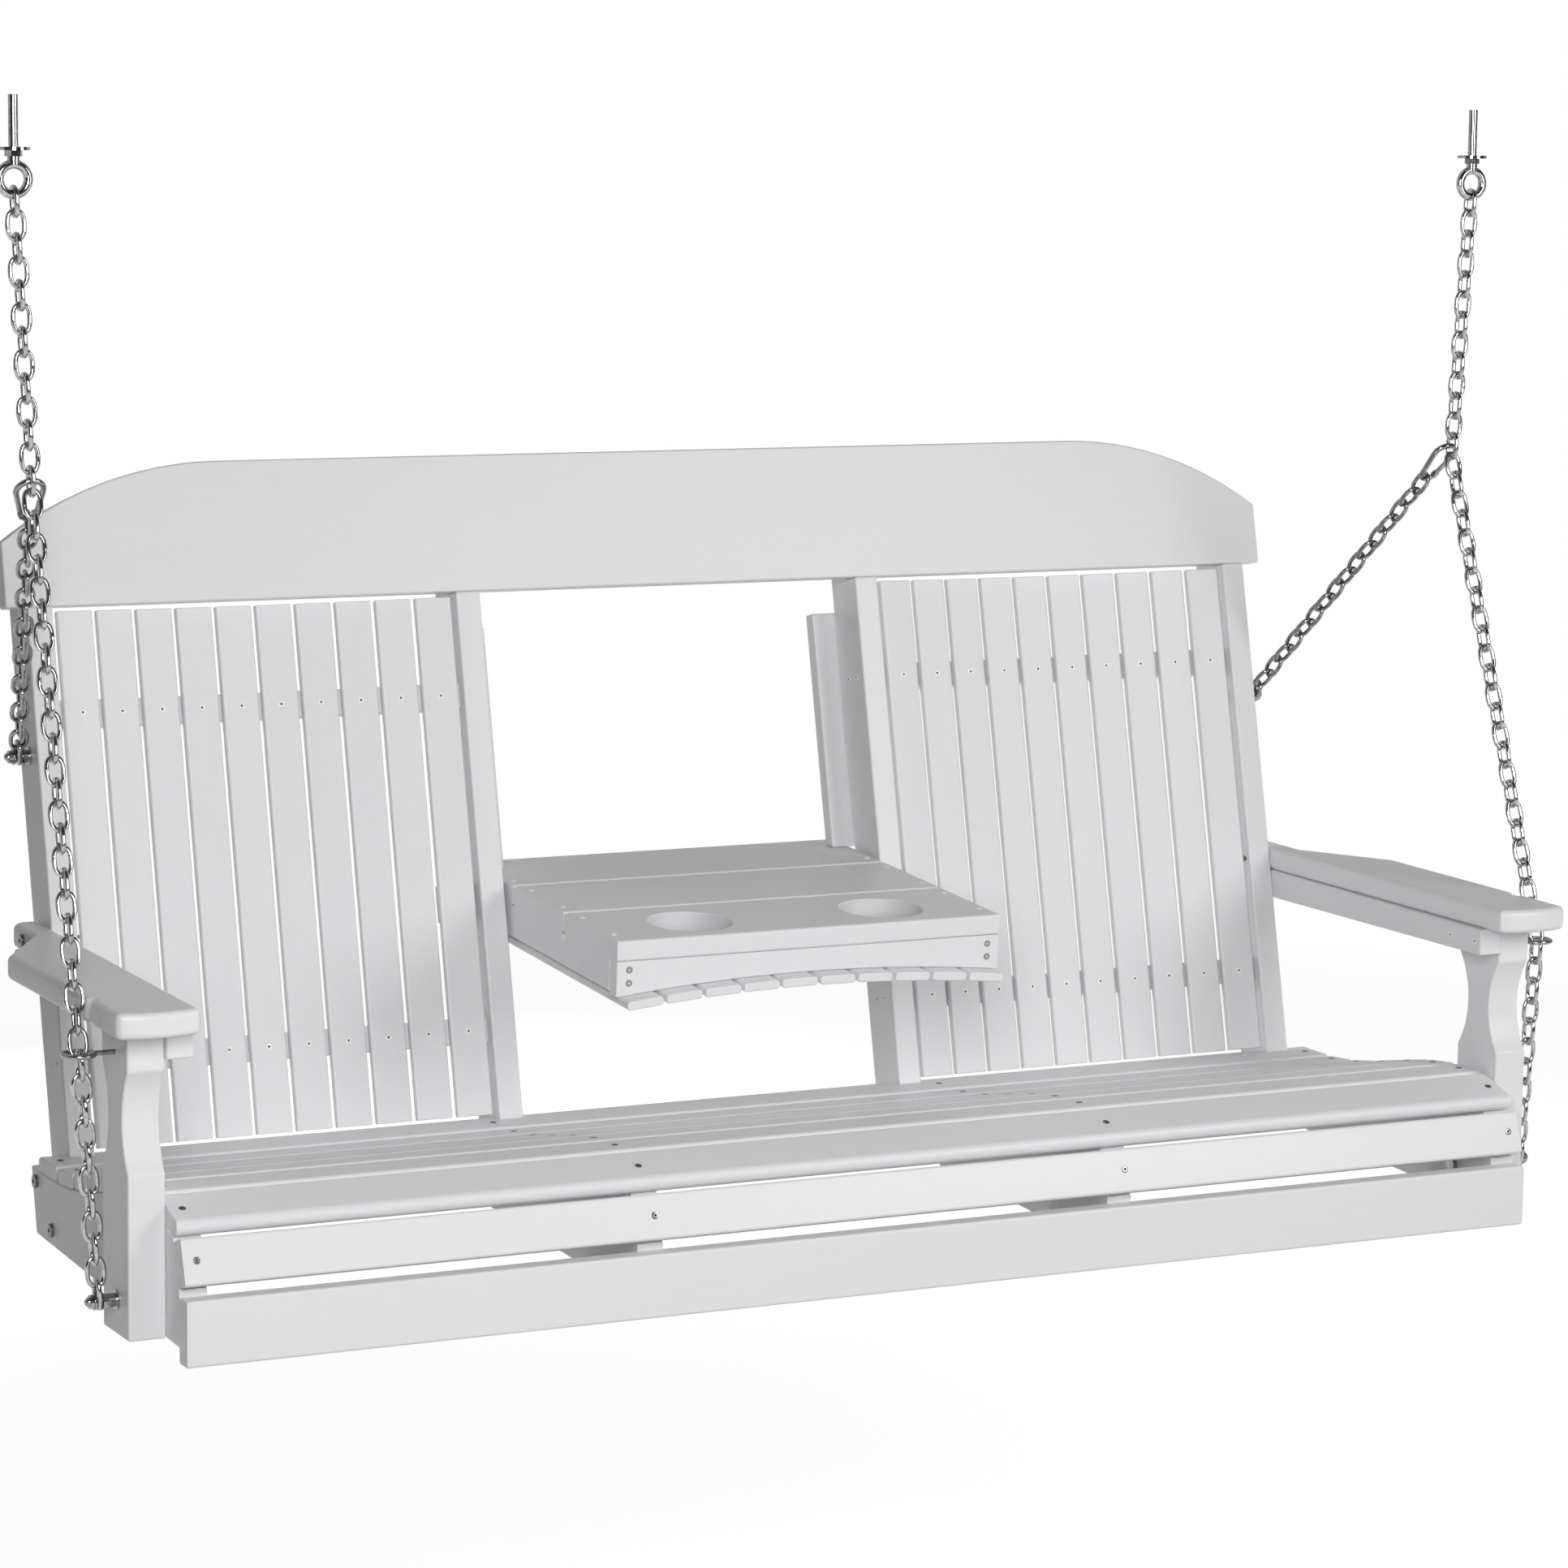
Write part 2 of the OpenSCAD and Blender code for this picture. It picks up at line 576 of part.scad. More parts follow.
module arm_apron() color(white) difference() {
    under = arm_z - arm_t / cos(arm_slope);
    low = under - arm_apron_h;
    corner_r = 14;
    along_x(end_in, frame_t) hull() {
        polygon([[arm_apron_y, low], [arm_apron_end - corner_r, low], [arm_apron_end, low + corner_r],
            [arm_apron_end, under + (arm_apron_end - arm_front) * tan(arm_slope)],
            [arm_apron_y, under + (arm_apron_y - arm_front) * tan(arm_slope)]]);
        translate([arm_apron_end - corner_r, low + corner_r]) circle(corner_r, $fn = 64);
    }
    arm_screw_places() screw_hole(screw_l + 18);
}
// A bowed front, and a chamfered rear that leaves a tongue beside the stile
module arm() color(white) difference() {
    arm_frame() arm_board();
    frame_bolt_places() bolt_hole();
}
module arm_board() {
    rear = tongue_end - arm_front;
    bend = arm_bend_y - arm_front;
    neck = tongue_y - arm_front;
    mid_x = (arm_in + arm_out) / 2;
    bow_r = (arm_w * arm_w / 4 + arm_bow * arm_bow) / (2 * arm_bow);
    translate([0, 0, -arm_t]) linear_extrude(arm_t) difference() {
        offset(r = 8, $fn = 64) offset(delta = -8) intersection() {
            polygon([[arm_in, 0], [arm_out, 0], [arm_out, bend], [half_w, neck],
                [half_w, rear - 9], [half_w - 9, rear], [end_in, rear], [end_in, neck]]);
            translate([mid_x, bow_r]) union() {
                circle(bow_r, $fn = 160);
                translate([-arm_w, 0]) square([2 * arm_w, 2 * rear]);
            }
        }
        translate([arm_out + 6, 94]) circle(13, $fn = 48);
    }
}

// ---- Hardware ----
module bolt(length) {
    cylinder(r1 = 7, r2 = 4.5, h = 3, $fn = 32);
    translate([0, 0, -length]) cylinder(r = bolt_r - 0.5, h = length, $fn = 24);
}
module bolt_hole() translate([0, 0, -frame_t * 2 - 4])
    cylinder(r = bolt_r - 0.5 + 0.1, h = frame_t * 2 + 4 + eps, $fn = 24);
// Heads on the outer faces: stile foot, stretcher and arm tongue; mid supports likewise
module frame_bolt_places() both() {
    for (p = [[457, 89], [stretcher_y + 13, 48], [tongue_end - 41, arm_z - arm_t / 2 + 4]])
        translate([half_w, p[0], p[1]]) rotate([0, 90, 0]) children();
    for (p = [[457, 89]])
        translate([support_in + frame_t, p[0], p[1]]) rotate([0, 90, 0]) children();
}
module chain_bolts() color(steel) both() {
    chain_bolt(end_in, post_out, low_link_x, low_bolt, low_slack);
    chain_bolt(panel_out, stile_out, rear_link_x, rear_bolt, rear_slack);
}
// Bolt with an inner head, two washers and a nut, and an acorn nut outside the link
module chain_bolt(x_in, x_face, x_link, p, slack) {
    half_link = wire_d / 2 + slack;
    rod_x(x_in - 1, x_link + half_link + 4, p, bolt_r);
    rod_x(x_in - 5, x_in, p, 8);
    rod_x(x_face, x_face + 1.6, p, 10);
    rod_x(x_face + 1.6, x_link - half_link - 1.6, p, 6.8);
    rod_x(x_link - half_link - 1.6, x_link - half_link, p, 8.5);
    rod_x(x_link + half_link, x_link + half_link + 1.6, p, 8.5);
    rod_x(x_link + half_link + 1.6, x_link + half_link + 6, p, 6.8);
    translate([x_link + half_link + 6, p[0], p[1]]) sphere(4.6, $fn = 32);
}
module guide_rings() color(steel) both() {
    translate(ring_pt) rotate_extrude($fn = 64) translate([ring_r, 0]) circle(ring_d / 2, $fn = 24);
    rod_x(post_out - 25, ring_pt[0] - ring_r, [ring_pt[1], ring_pt[2]], ring_d / 2);
}
module hanger() color(steel) {
    translate([hang_pt[0], hang_pt[1], eye_z + eye_r]) rotate([90, 0, 0])
        rotate_extrude($fn = 64) translate([eye_r, 0]) circle(eye_d / 2, $fn = 32);
    // a thicker neck below the nut, then the stud
    translate([hang_pt[0], hang_pt[1], eye_z + eye_r * 2])
        cylinder(r = stud_r + 1.2, h = beam_z - 5 - eye_z - eye_r * 2, $fn = 32);
    translate([hang_pt[0], hang_pt[1], beam_z - 5])
        cylinder(r = stud_r, h = stud_l + 5, $fn = 32);
    translate([hang_pt[0], hang_pt[1], beam_z - 3]) cylinder(r = 16, h = 3, $fn = 48);
    translate([hang_pt[0], hang_pt[1], beam_z - 9]) cylinder(r = 9, h = 6.5, $fn = 6);
}

// Turns +Z to a direction, keeping X level
module aim(d) rotate([atan2(-d[1], d[2]), 0, 0]) rotate([0, asin(d[0]), 0]) children();

bow_r = (link_w - wire_d) / 2;
module link() {
    straight = link_in - (link_w - 2 * wire_d);
    for (s = [-1, 1]) {
        translate([s * bow_r, 0, -straight / 2]) cylinder(r = wire_d / 2, h = straight, $fn = 24);
        translate([0, 0, s * straight / 2]) rotate([90, 0, 0]) rotate([0, 0, s > 0 ? 0 : 180])
            rotate_extrude(angle = 180, $fn = 48) translate([bow_r, 0]) circle(wire_d / 2, $fn = 24);
    }
}
// Straight run of links between two points; first gives the turn of link 0
module run(from, to, count, first) for (k = [0:count - 1])
    translate(from + (to - from) * (k + 0.5) / count) aim(unit(to - from))
        rotate([0, 0, 90 * (k + first)]) link();
module main_chain() color(steel) {
    run(hang_pt, joint_pt, top_links, 1);
    run(joint_pt, ring_pt, mid_links, 1 + top_links);
    run(ring_pt, low_pt, low_links, 1 + top_links + mid_links);
}
module rear_chain() color(steel) run(rear_start, rear_stop, rear_links, 1);

// Hook in its own plane: X across, -Z from the wide end to the narrow end
hook_turn = asin((hook_r1 - hook_r2) / hook_span);
hook_side = sqrt(hook_span * hook_span - pow(hook_r1 - hook_r2, 2));
tongue_t = 2.4;
gate_pin_r = 1;
hook_open = 24;      // angle of the narrow bend left free for the gate's fork
module hook_frame() translate(hook_top) aim(-rear_dir) translate([0, 0, -hook_r1]) children();
// The gate's own frame: its pin at the origin, its free end up +Z
module gate_frame() hook_frame() rotate([0, hook_turn, 0])
    translate([hook_r1, 0, -hook_side]) children();
module snap_hook() color(steel) {
    hook_frame() rotate([90, 0, 0]) rotate([0, 0, 180 + hook_turn]) mirror([0, 1, 0]) {
        rotate_extrude(angle = 190 + hook_turn, $fn = 64)
            translate([hook_r1, 0]) circle(hook_d / 2, $fn = 24);
        translate([hook_r1, 0, 0]) rotate([90, 0, 0])
            cylinder(r = hook_d / 2, h = hook_side, $fn = 24);
        translate([hook_r1 - hook_r2, -hook_side, 0]) mirror([0, 1, 0])
            rotate_extrude(angle = 180 - 2 * hook_turn - hook_open, $fn = 64)
                translate([hook_r2, 0]) circle(hook_d / 2, $fn = 24);
    }
    gate_frame() difference() {
        union() {
            rotate([90, 0, 0]) cylinder(r = 2.8, h = tongue_t, center = true, $fn = 32);
            translate([-2.8, -tongue_t / 2, -6]) cube([4.6, tongue_t, 6]);
        }
        rotate([90, 0, 0]) cylinder(r = gate_pin_r + 0.15, h = 9, center = true, $fn = 24);
    }
}
module hook_gate() color(steel) gate_frame() {
    cheek_y = tongue_t / 2 + 0.3;
    for (s = [-1, 1]) translate([0, s * (cheek_y + 0.6), 0]) {
        rotate([90, 0, 0]) cylinder(r = 2.5, h = 1.2, center = true, $fn = 32);
        translate([-2.5, -0.6, 0]) cube([5, 1.2, 5.5]);
    }
    rotate([90, 0, 0])
        cylinder(r = gate_pin_r, h = 2 * cheek_y + 2.4, center = true, $fn = 24);
    translate([0, 0, 4]) cylinder(r = hook_d / 2 - 0.3, h = gate_l - 4, $fn = 24);
}
// Length of the gate, up to the end of the hook's wide bend
gate_l = hook_side - hook_r1 * sin(10 - hook_turn) - 1;

place() other_side() hanger();  // left_hanger
place() hanger();  // right_hanger
place() other_side() main_chain();  // left_main_chain
place() main_chain();  // right_main_chain
place() other_side() rear_chain();  // left_rear_chain
place() rear_chain();  // right_rear_chain
place() other_side() snap_hook();  // left_snap_hook
place() snap_hook();  // right_snap_hook
place() other_side() hook_gate();  // left_hook_gate
place() hook_gate();  // right_hook_gate
place() guide_rings();
place() chain_bolts();
place() crown_rail();
place() other_side() stile(panel_out);  // left_outer_stile
place() other_side() stile(console_bay);  // left_inner_stile
place() stile(console_bay);  // right_inner_stile
place() stile(panel_out);  // right_outer_stile
place() cross_rail(-1, cross_top);  // left_upper_cross_rail
place() cross_rail(-1, cross_low);  // left_lower_cross_rail
place() cross_rail(1, cross_top);  // right_upper_cross_rail
place() cross_rail(1, cross_low);  // right_lower_cross_rail
place() slat_panel(-1);  // left_back_slats
place() slat_panel(1);  // right_back_slats
place() console_stop_strips();
place() pivot_blocks();
place() pivot_bolts();
place() other_side() support_board(end_in, false);  // left_end_board
place() support_board(end_in, false);  // right_end_board
place() other_side() support_board(support_in, true);  // left_mid_support
place() support_board(support_in, true);  // right_mid_support
place() rear_stretcher();
place() front_stretcher();
place() seat_nose_slat();
place() seat_slat(0);  // seat_slat_2
place() seat_slat(1);  // seat_slat_3
place() seat_slat(2);  // seat_slat_4
place() seat_slat(3);  // seat_slat_5
place() seat_slat(4);  // seat_slat_6
place() seat_slat(5);  // seat_slat_7
place() seat_last_slat();
place() fascia_board();
place() lower_apron();
place() other_side() arm_post();  // left_arm_post
place() arm_post();  // right_arm_post
place() other_side() arm_apron();  // left_arm_apron
place() arm_apron();  // right_arm_apron
place() other_side() arm();  // left_arm
place() arm();  // right_arm
place() console_top_board(0);  // console_front_board
place() console_top_board(1);  // console_middle_board
place() console_top_board(2);  // console_rear_board
place() other_side() console_side();  // console_left_side
place() console_side();  // console_right_side
place() console_front_apron();
place() console_cross_rails();
place() console_slats();
place() color(plug) {  // seat_screws
    seat_screw_places() screw(screw_l);
    stretcher_screw_places() screw(stretcher_screw_l);
}
place() color(plug) {  // back_screws
    back_screw_places() screw(screw_l);
    stile_screw_places() screw(screw_l + 12);
}
place() color(steel) {  // console_screws
    console_screw_places() screw(screw_l);
    console_face_screws() screw(screw_l + 20);
    console_side_screws() screw(screw_l + 12);
}
place() color(steel) {  // frame_bolts
    frame_bolt_places() bolt(frame_t * 2 + 4);
    arm_screw_places() screw(screw_l + 18);
}
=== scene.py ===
# %% [markdown]
# # A hanging garden swing with a fold-up console
#
# The real swing is made of white poly lumber: solid plastic boards with rounded edges, screwed
# together and hung on two bright chains. The packed model already holds every board at its true
# size, so this lesson dresses it. It places the camera and makes the finishes, then rounds the
# boards, gives the chains real links and the screws real heads, and lights the studio.

# %% Load the packed model
import json
import math

import bmesh
import bpy
import numpy as np
from mathutils import Matrix, Vector


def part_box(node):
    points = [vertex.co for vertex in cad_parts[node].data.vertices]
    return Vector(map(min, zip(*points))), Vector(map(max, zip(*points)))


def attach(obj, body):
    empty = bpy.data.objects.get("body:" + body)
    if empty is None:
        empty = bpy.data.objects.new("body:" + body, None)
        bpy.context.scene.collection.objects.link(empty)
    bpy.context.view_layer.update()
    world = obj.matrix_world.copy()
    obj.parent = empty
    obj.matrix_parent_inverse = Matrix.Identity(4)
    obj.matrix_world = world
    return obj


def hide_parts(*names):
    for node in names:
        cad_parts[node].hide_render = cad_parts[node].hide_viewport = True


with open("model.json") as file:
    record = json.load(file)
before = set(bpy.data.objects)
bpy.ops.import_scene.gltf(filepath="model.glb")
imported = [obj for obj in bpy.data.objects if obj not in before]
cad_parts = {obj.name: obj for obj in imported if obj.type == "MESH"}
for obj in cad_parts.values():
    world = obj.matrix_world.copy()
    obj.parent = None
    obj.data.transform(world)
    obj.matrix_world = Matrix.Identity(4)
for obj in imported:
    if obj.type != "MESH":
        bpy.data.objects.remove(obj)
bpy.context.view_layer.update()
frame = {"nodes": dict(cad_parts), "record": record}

MM = 0.001
nodes = frame["nodes"]
record = frame["record"]
body_of = {node: body for body, members in record["behaviour"]["bodies"].items() for node in members}

# %% [markdown]
# ## Camera
#
# The camera stands low, in front of the swing and well to its left. Its place, its lens and its
# small roll are named values. A camera looks along its own -Z axis, so its three axes are worked
# out from the yaw, the pitch and the roll, and become the columns of its matrix.

# %% Place the camera
IMAGE_PX = 1932            # the image's width and height
FOCAL_PX = 6122.3          # focal length in the same pixels
SENSOR_MM = 36.0
SEES_TO = 100.0            # metres
CAMERA_AT = (-2.3091, -4.6209, 0.0635)
CAMERA_YAW, CAMERA_PITCH, CAMERA_ROLL = (math.radians(a) for a in (26.51, -7.96, 0.70))


def camera_matrix(at, yaw, pitch, roll):
    ahead = Vector((math.sin(yaw) * math.cos(pitch), math.cos(yaw) * math.cos(pitch), math.sin(pitch)))
    level = Vector((math.cos(yaw), -math.sin(yaw), 0.0))
    up = level.cross(ahead)
    right = math.cos(roll) * level + math.sin(roll) * up
    top = math.cos(roll) * up - math.sin(roll) * level
    turn = Matrix((right, top, -ahead)).transposed()
    return Matrix.Translation(at) @ turn.to_4x4()


camera_data = bpy.data.cameras.new("camera")
camera_data.sensor_fit = "HORIZONTAL"
camera_data.sensor_width = SENSOR_MM
camera_data.lens = FOCAL_PX / IMAGE_PX * SENSOR_MM
camera_data.clip_end = SEES_TO
camera = bpy.data.objects.new("camera", camera_data)
bpy.context.scene.collection.objects.link(camera)
camera.matrix_world = camera_matrix(CAMERA_AT, CAMERA_YAW, CAMERA_PITCH, CAMERA_ROLL)
bpy.context.scene.camera = camera
print(f"lens {camera_data.lens:.1f} mm")

# %% [markdown]
# ## Shader maths that reads like Python
#
# A finish is a sum of small effects: streaks, grain, a change of tone from board to board. Each
# one is a formula. A Field wraps one output socket of a material's nodes, and its operators add
# the Math nodes, so a formula can be written as an ordinary expression. Every other node comes
# from one method, which sets the node's settings first and its sockets after.

# %% A field of values over a surface
class Field:
    def __init__(self, tree, socket=None):
        self.tree = tree
        self.socket = socket

    def node(self, kind, settings=None, sockets=None, out=0):
        """Adds a node: its settings first, then the values or fields that its sockets take."""
        made = self.tree.nodes.new("ShaderNode" + kind)
        for name, value in (settings or {}).items():
            setattr(made, name, value)
        for name, value in (sockets or {}).items():
            if isinstance(value, Field):
                self.tree.links.new(value.socket, made.inputs[name])
            else:
                made.inputs[name].default_value = value
        return Field(self.tree, made.outputs[out] if made.outputs else None)

    def maths(self, operation, first, second):
        return self.node("Math", {"operation": operation}, {0: first, 1: second})

    def __add__(self, other):
        return self.maths("ADD", self, other)

    def __radd__(self, other):
        return self.maths("ADD", other, self)

    def __sub__(self, other):
        return self.maths("SUBTRACT", self, other)

    def __rsub__(self, other):
        return self.maths("SUBTRACT", other, self)

    def __mul__(self, other):
        return self.maths("MULTIPLY", self, other)

    def __rmul__(self, other):
        return self.maths("MULTIPLY", other, self)

    def between(self, low, high):
        """0 below low, 1 above high, and an even ramp between them."""
        return self.node("MapRange", {"clamp": True}, {"Value": self, "From Min": low, "From Max": high})

    def pick(self, colour_0, colour_1):
        """One colour where this field is 0, another where it is 1."""
        return self.node("Mix", {"data_type": "RGBA"}, {0: self, 6: colour_0, 7: colour_1}, out=2)


print("a field has", ", ".join(name for name in vars(Field) if not name.startswith("_")))

# %% [markdown]
# ## Parts of a finish
#
# Three things come back in every finish. A noise makes grain, clouds and scratches. A bump turns
# a field of heights into a tilt of the surface, so that fine texture catches light. A darker copy
# of a colour gives its worn or shaded places.

# %% Materials, noise, bumps and tones
def new_material(name, **principled):
    """A material with one Principled shader: sets its plain sockets, and returns it all."""
    material = bpy.data.materials.new(name)
    material.use_nodes = True
    tree = material.node_tree
    shader = tree.nodes["Principled BSDF"]
    for socket, value in principled.items():
        shader.inputs[socket.replace("_", " ")].default_value = value
    return material, Field(tree), shader


def feed(field, shader, socket):
    field.tree.links.new(field.socket, shader.inputs[socket])


def noise(at, **look):
    """A noise that stays near 0.5, whose look is its scale, its detail and its roughness."""
    return at.node("TexNoise", None, {"Vector": at, **look})


def bump(height, strength, depth):
    return height.node("Bump", None, {"Height": height, "Strength": strength, "Distance": depth},
                       out="Normal")


def grey(level):
    return (level, level, level, 1.0)


def darker(colour, share):
    return tuple(share * c for c in colour[:3]) + (1.0,)


WHITE = grey(1.0)
print("white", WHITE)

# %% [markdown]
# ## White poly lumber
#
# The boards are extruded plastic with a faint brushed texture that runs along each board, much
# like fine wood grain, and a satin sheen. The texture is a noise that is squeezed along the
# board, so the material needs to know which way the board runs. The swing has boards along X,
# along Y, upright, and along the leaning back, so one function makes one material for each.
# Each board also takes its own slight tone, which comes from the Random Per Island value.

# %% Poly lumber along a direction
LEAN = math.radians(12.74)
BOARD_WAYS = {
    "x": Vector((1.0, 0.0, 0.0)),
    "y": Vector((0.0, 1.0, 0.0)),
    "z": Vector((0.0, 0.0, 1.0)),
    "back": Vector((0.0, math.sin(LEAN), math.cos(LEAN))),
}
BOARD_WHITE = (0.80, 0.80, 0.81, 1.0)
BOARD_SHADE = (0.765, 0.765, 0.78, 1.0)
BOARD_ROUGHNESS = 0.40
PLASTIC_IOR = 1.5
SQUEEZE = 0.97             # how much of the way along a board its grain ignores
STREAKS = {"Scale": 420.0, "Detail": 4.0, "Roughness": 0.6}
CLOUDS = {"Scale": 28.0, "Detail": 2.0}
PEBBLE = {"Scale": 1500.0, "Detail": 2.0}
STREAK_RAMP = (0.35, 0.65)
BOARD_TONE, STREAK_TONE, CLOUD_TONE = 0.5, 0.3, 0.2    # what each adds to the tone
STREAK_GLOSS, CLOUD_GLOSS = 0.12, 0.05                 # and to the roughness
PEBBLE_HEIGHT = 0.5        # where the streaks' height is 1
GRAIN_STRENGTH, GRAIN_DEPTH = 0.25, 0.06 * MM


def poly_lumber(name, along):
    material, start, shader = new_material(name, IOR=PLASTIC_IOR)
    where = start.node("TexCoord", out="Object")
    lengthwise = where.node("VectorMath", {"operation": "DOT_PRODUCT"}, {0: where, 1: along}, out="Value")
    squeeze = where.node("VectorMath", {"operation": "SCALE"},
                         {0: tuple(along), "Scale": lengthwise * -SQUEEZE})
    grain_at = where.node("VectorMath", {"operation": "ADD"}, {0: where, 1: squeeze})
    board = where.node("NewGeometry", out="Random Per Island")
    streaks, clouds, pebble = noise(grain_at, **STREAKS), noise(grain_at, **CLOUDS), noise(where, **PEBBLE)
    tone = BOARD_TONE * board + STREAK_TONE * streaks.between(*STREAK_RAMP) + CLOUD_TONE * clouds
    feed(tone.pick(BOARD_SHADE, BOARD_WHITE), shader, "Base Color")
    roughness = BOARD_ROUGHNESS + STREAK_GLOSS * (streaks - 0.5) + CLOUD_GLOSS * (clouds - 0.5)
    feed(roughness, shader, "Roughness")
    feed(bump(streaks + PEBBLE_HEIGHT * pebble, GRAIN_STRENGTH, GRAIN_DEPTH), shader, "Normal")
    return material


lumber = {way: poly_lumber(f"white_board_{way}", axis) for way, axis in BOARD_WAYS.items()}
print("boards:", ", ".join(m.name for m in lumber.values()))

# %% [markdown]
# ## Metals
#
# The chains and hangers are bright zinc: a light metal that mirrors the studio, with smudges and
# fine scratches that spread its highlights a little. The hooks and the rear chains are a darker
# zinc. The rings, the bolts and the bare screws are duller steel, each with its own tone.

# %% Zinc and steel
SMUDGES = {"Scale": 180.0, "Detail": 3.0}
SCRATCHES = {"Scale": 2600.0, "Detail": 2.0}
SMUDGE_RAMP = (0.35, 0.62)
SMUDGE_SHADE = 0.72        # a smudge's colour, as a share of the metal's own
METAL_GLOSS = 0.06         # what smudges and scratches add to the roughness
SCRATCH_STRENGTH, SCRATCH_DEPTH = 0.15, 0.03 * MM


def zinc(name, colour, roughness):
    material, start, shader = new_material(name, Metallic=1.0)
    where = start.node("TexCoord", out="Object")
    smudges, scratches = noise(where, **SMUDGES), noise(where, **SCRATCHES)
    tone = smudges.between(*SMUDGE_RAMP).pick(darker(colour, SMUDGE_SHADE), colour)
    feed(tone, shader, "Base Color")
    feed(roughness + METAL_GLOSS * (smudges - 0.5) + METAL_GLOSS * (scratches - 0.5), shader, "Roughness")
    feed(bump(scratches, SCRATCH_STRENGTH, SCRATCH_DEPTH), shader, "Normal")
    return material


chain_zinc = zinc("chain_zinc", (0.52, 0.52, 0.53, 1.0), 0.12)
hook_zinc = zinc("hook_zinc", (0.34, 0.34, 0.35, 1.0), 0.13)
ring_steel = zinc("ring_steel", (0.36, 0.35, 0.34, 1.0), 0.20)
bolt_steel = zinc("bolt_steel", (0.36, 0.37, 0.38, 1.0), 0.22)
dark_steel = zinc("dark_steel", grey(0.17), 0.30)
screw_steel = zinc("screw_steel", (0.34, 0.34, 0.35, 1.0), 0.30)
print("metals:", ", ".join(m.name for m in (chain_zinc, hook_zinc, ring_steel, bolt_steel,
                                            dark_steel, screw_steel)))

# %% [markdown]
# ## Painted screw heads
#
# Most screw heads are painted or capped, so they take a plain coat with a fine speckle. The same
# coat in near black is painted shade in the drive holes, which are too deep for light to reach.

# %% White, grey and dark coats
SPECKLES = {"Scale": 900.0, "Detail": 2.0}
SPECKLE_RAMP = (0.3, 0.7)
SPECKLE_SHADE = 0.93       # a speckle's colour, as a share of the coat's own
COAT_ROUGHNESS, SPECKLE_GLOSS = 0.32, 0.1


def coat(name, colour):
    material, start, shader = new_material(name)
    where = start.node("TexCoord", out="Object")
    speckles = noise(where, **SPECKLES)
    tone = speckles.between(*SPECKLE_RAMP).pick(darker(colour, SPECKLE_SHADE), colour)
    feed(tone, shader, "Base Color")
    feed(COAT_ROUGHNESS + SPECKLE_GLOSS * speckles, shader, "Roughness")
    return material


white_cap = coat("white_screw_cap", grey(0.95))
# The drive holes' near-black coat is painted shade, for the dark that light can't reach in them.
drive_hole_painted_shade = coat("drive_hole_painted_shade", (0.05, 0.05, 0.052, 1.0))
screw_grey = coat("screw_grey", (0.30, 0.30, 0.31, 1.0))
print("coats:", ", ".join(m.name for m in (white_cap, drive_hole_painted_shade, screw_grey)))

# %% [markdown]
# ## Standing in for a packed piece
#
# Each new mesh takes the place of one packed node. It rides on the node's body, takes its own
# materials and hides the node itself. Curves are shaded smooth and real corners stay crisp.
# Some nodes hold many solids, so a last helper sorts things into groups that touch. It keeps
# them in order, so that every run makes the same groups.

# %% Make a piece, and sort what touches
CRISP = math.radians(40)   # a corner folds by more than this
WELD = 1e-6                # points closer than this, in metres, are joined


def finish_piece(mesh, name, node, *materials):
    """Makes an object of a mesh that stands for a node: its body and materials."""
    piece = bpy.data.objects.new(name, mesh)
    bpy.context.scene.collection.objects.link(piece)
    for material in materials:
        mesh.materials.append(material)
    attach(piece, body_of[node])
    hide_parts(node)
    return piece


def shade_by_angle(mesh):
    mesh.shade_smooth()
    mesh.set_sharp_from_angle(angle=CRISP)


def open_node(node):
    """A copy of a packed node's mesh, open for editing, with its doubled points joined."""
    shape = bmesh.new()
    shape.from_mesh(nodes[node].data)
    bmesh.ops.remove_doubles(shape, verts=shape.verts, dist=WELD)
    return shape


def touching_groups(things, beside):
    """Splits things into groups that touch, where beside gives what touches one of them."""
    left, groups = dict.fromkeys(things), []
    while left:
        group = [left.popitem()[0]]
        for thing in group:
            near = dict.fromkeys(other for other in beside(thing) if other in left)
            for other in near:
                del left[other]
            group.extend(near)
        groups.append(group)
    return groups


# %% [markdown]
# ## Rounding the boards
#
# Real boards have their long edges milled round, and light catches on that curve: it is what
# makes a board look like plastic and not like cut paper. The packed boards have true outlines
# and bores but mostly sharp edges. So each board is copied, its flat triangles are joined into
# whole faces, and a bevel rounds its outline. Some edges stay sharp: the rims of screw bores, the
# joints where two boards look like one, and upright corners that are too cramped for the round.

# %% Tell the edges apart
BORE_RIM = 13 * MM         # a closed ring of edges up to this size is a screw or bolt hole
FOLD = math.radians(32)    # an edge that folds by more is a corner, and by less a step of a curve
MOSTLY = 0.9               # an edge runs a way when this share of its length does
FLUSH = 0.2 * MM
TABLE_TILT = math.radians(3.76)
TABLE_UP = Vector((0.0, -math.sin(TABLE_TILT), math.cos(TABLE_TILT)))
CONSOLE_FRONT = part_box("console_front_board")[0].y + 5 * MM    # butted corners are behind this


def corner_groups(shape):
    """The groups of corner edges that touch each other."""
    corners = [e for e in shape.edges if e.calc_face_angle(0.0) > FOLD]
    return touching_groups(corners, lambda e: [n for v in e.verts for n in v.link_edges])


def span(edges):
    """The diagonal of the box round some edges."""
    co = np.array([v.co for e in edges for v in e.verts])
    return float(np.linalg.norm(co.max(0) - co.min(0)))


def upright(edge):
    return abs(edge.verts[0].co.z - edge.verts[1].co.z) > MOSTLY * edge.calc_length()


def shortest_beside(edge):
    return min(e.calc_length() for v in edge.verts for e in v.link_edges if e is not edge)


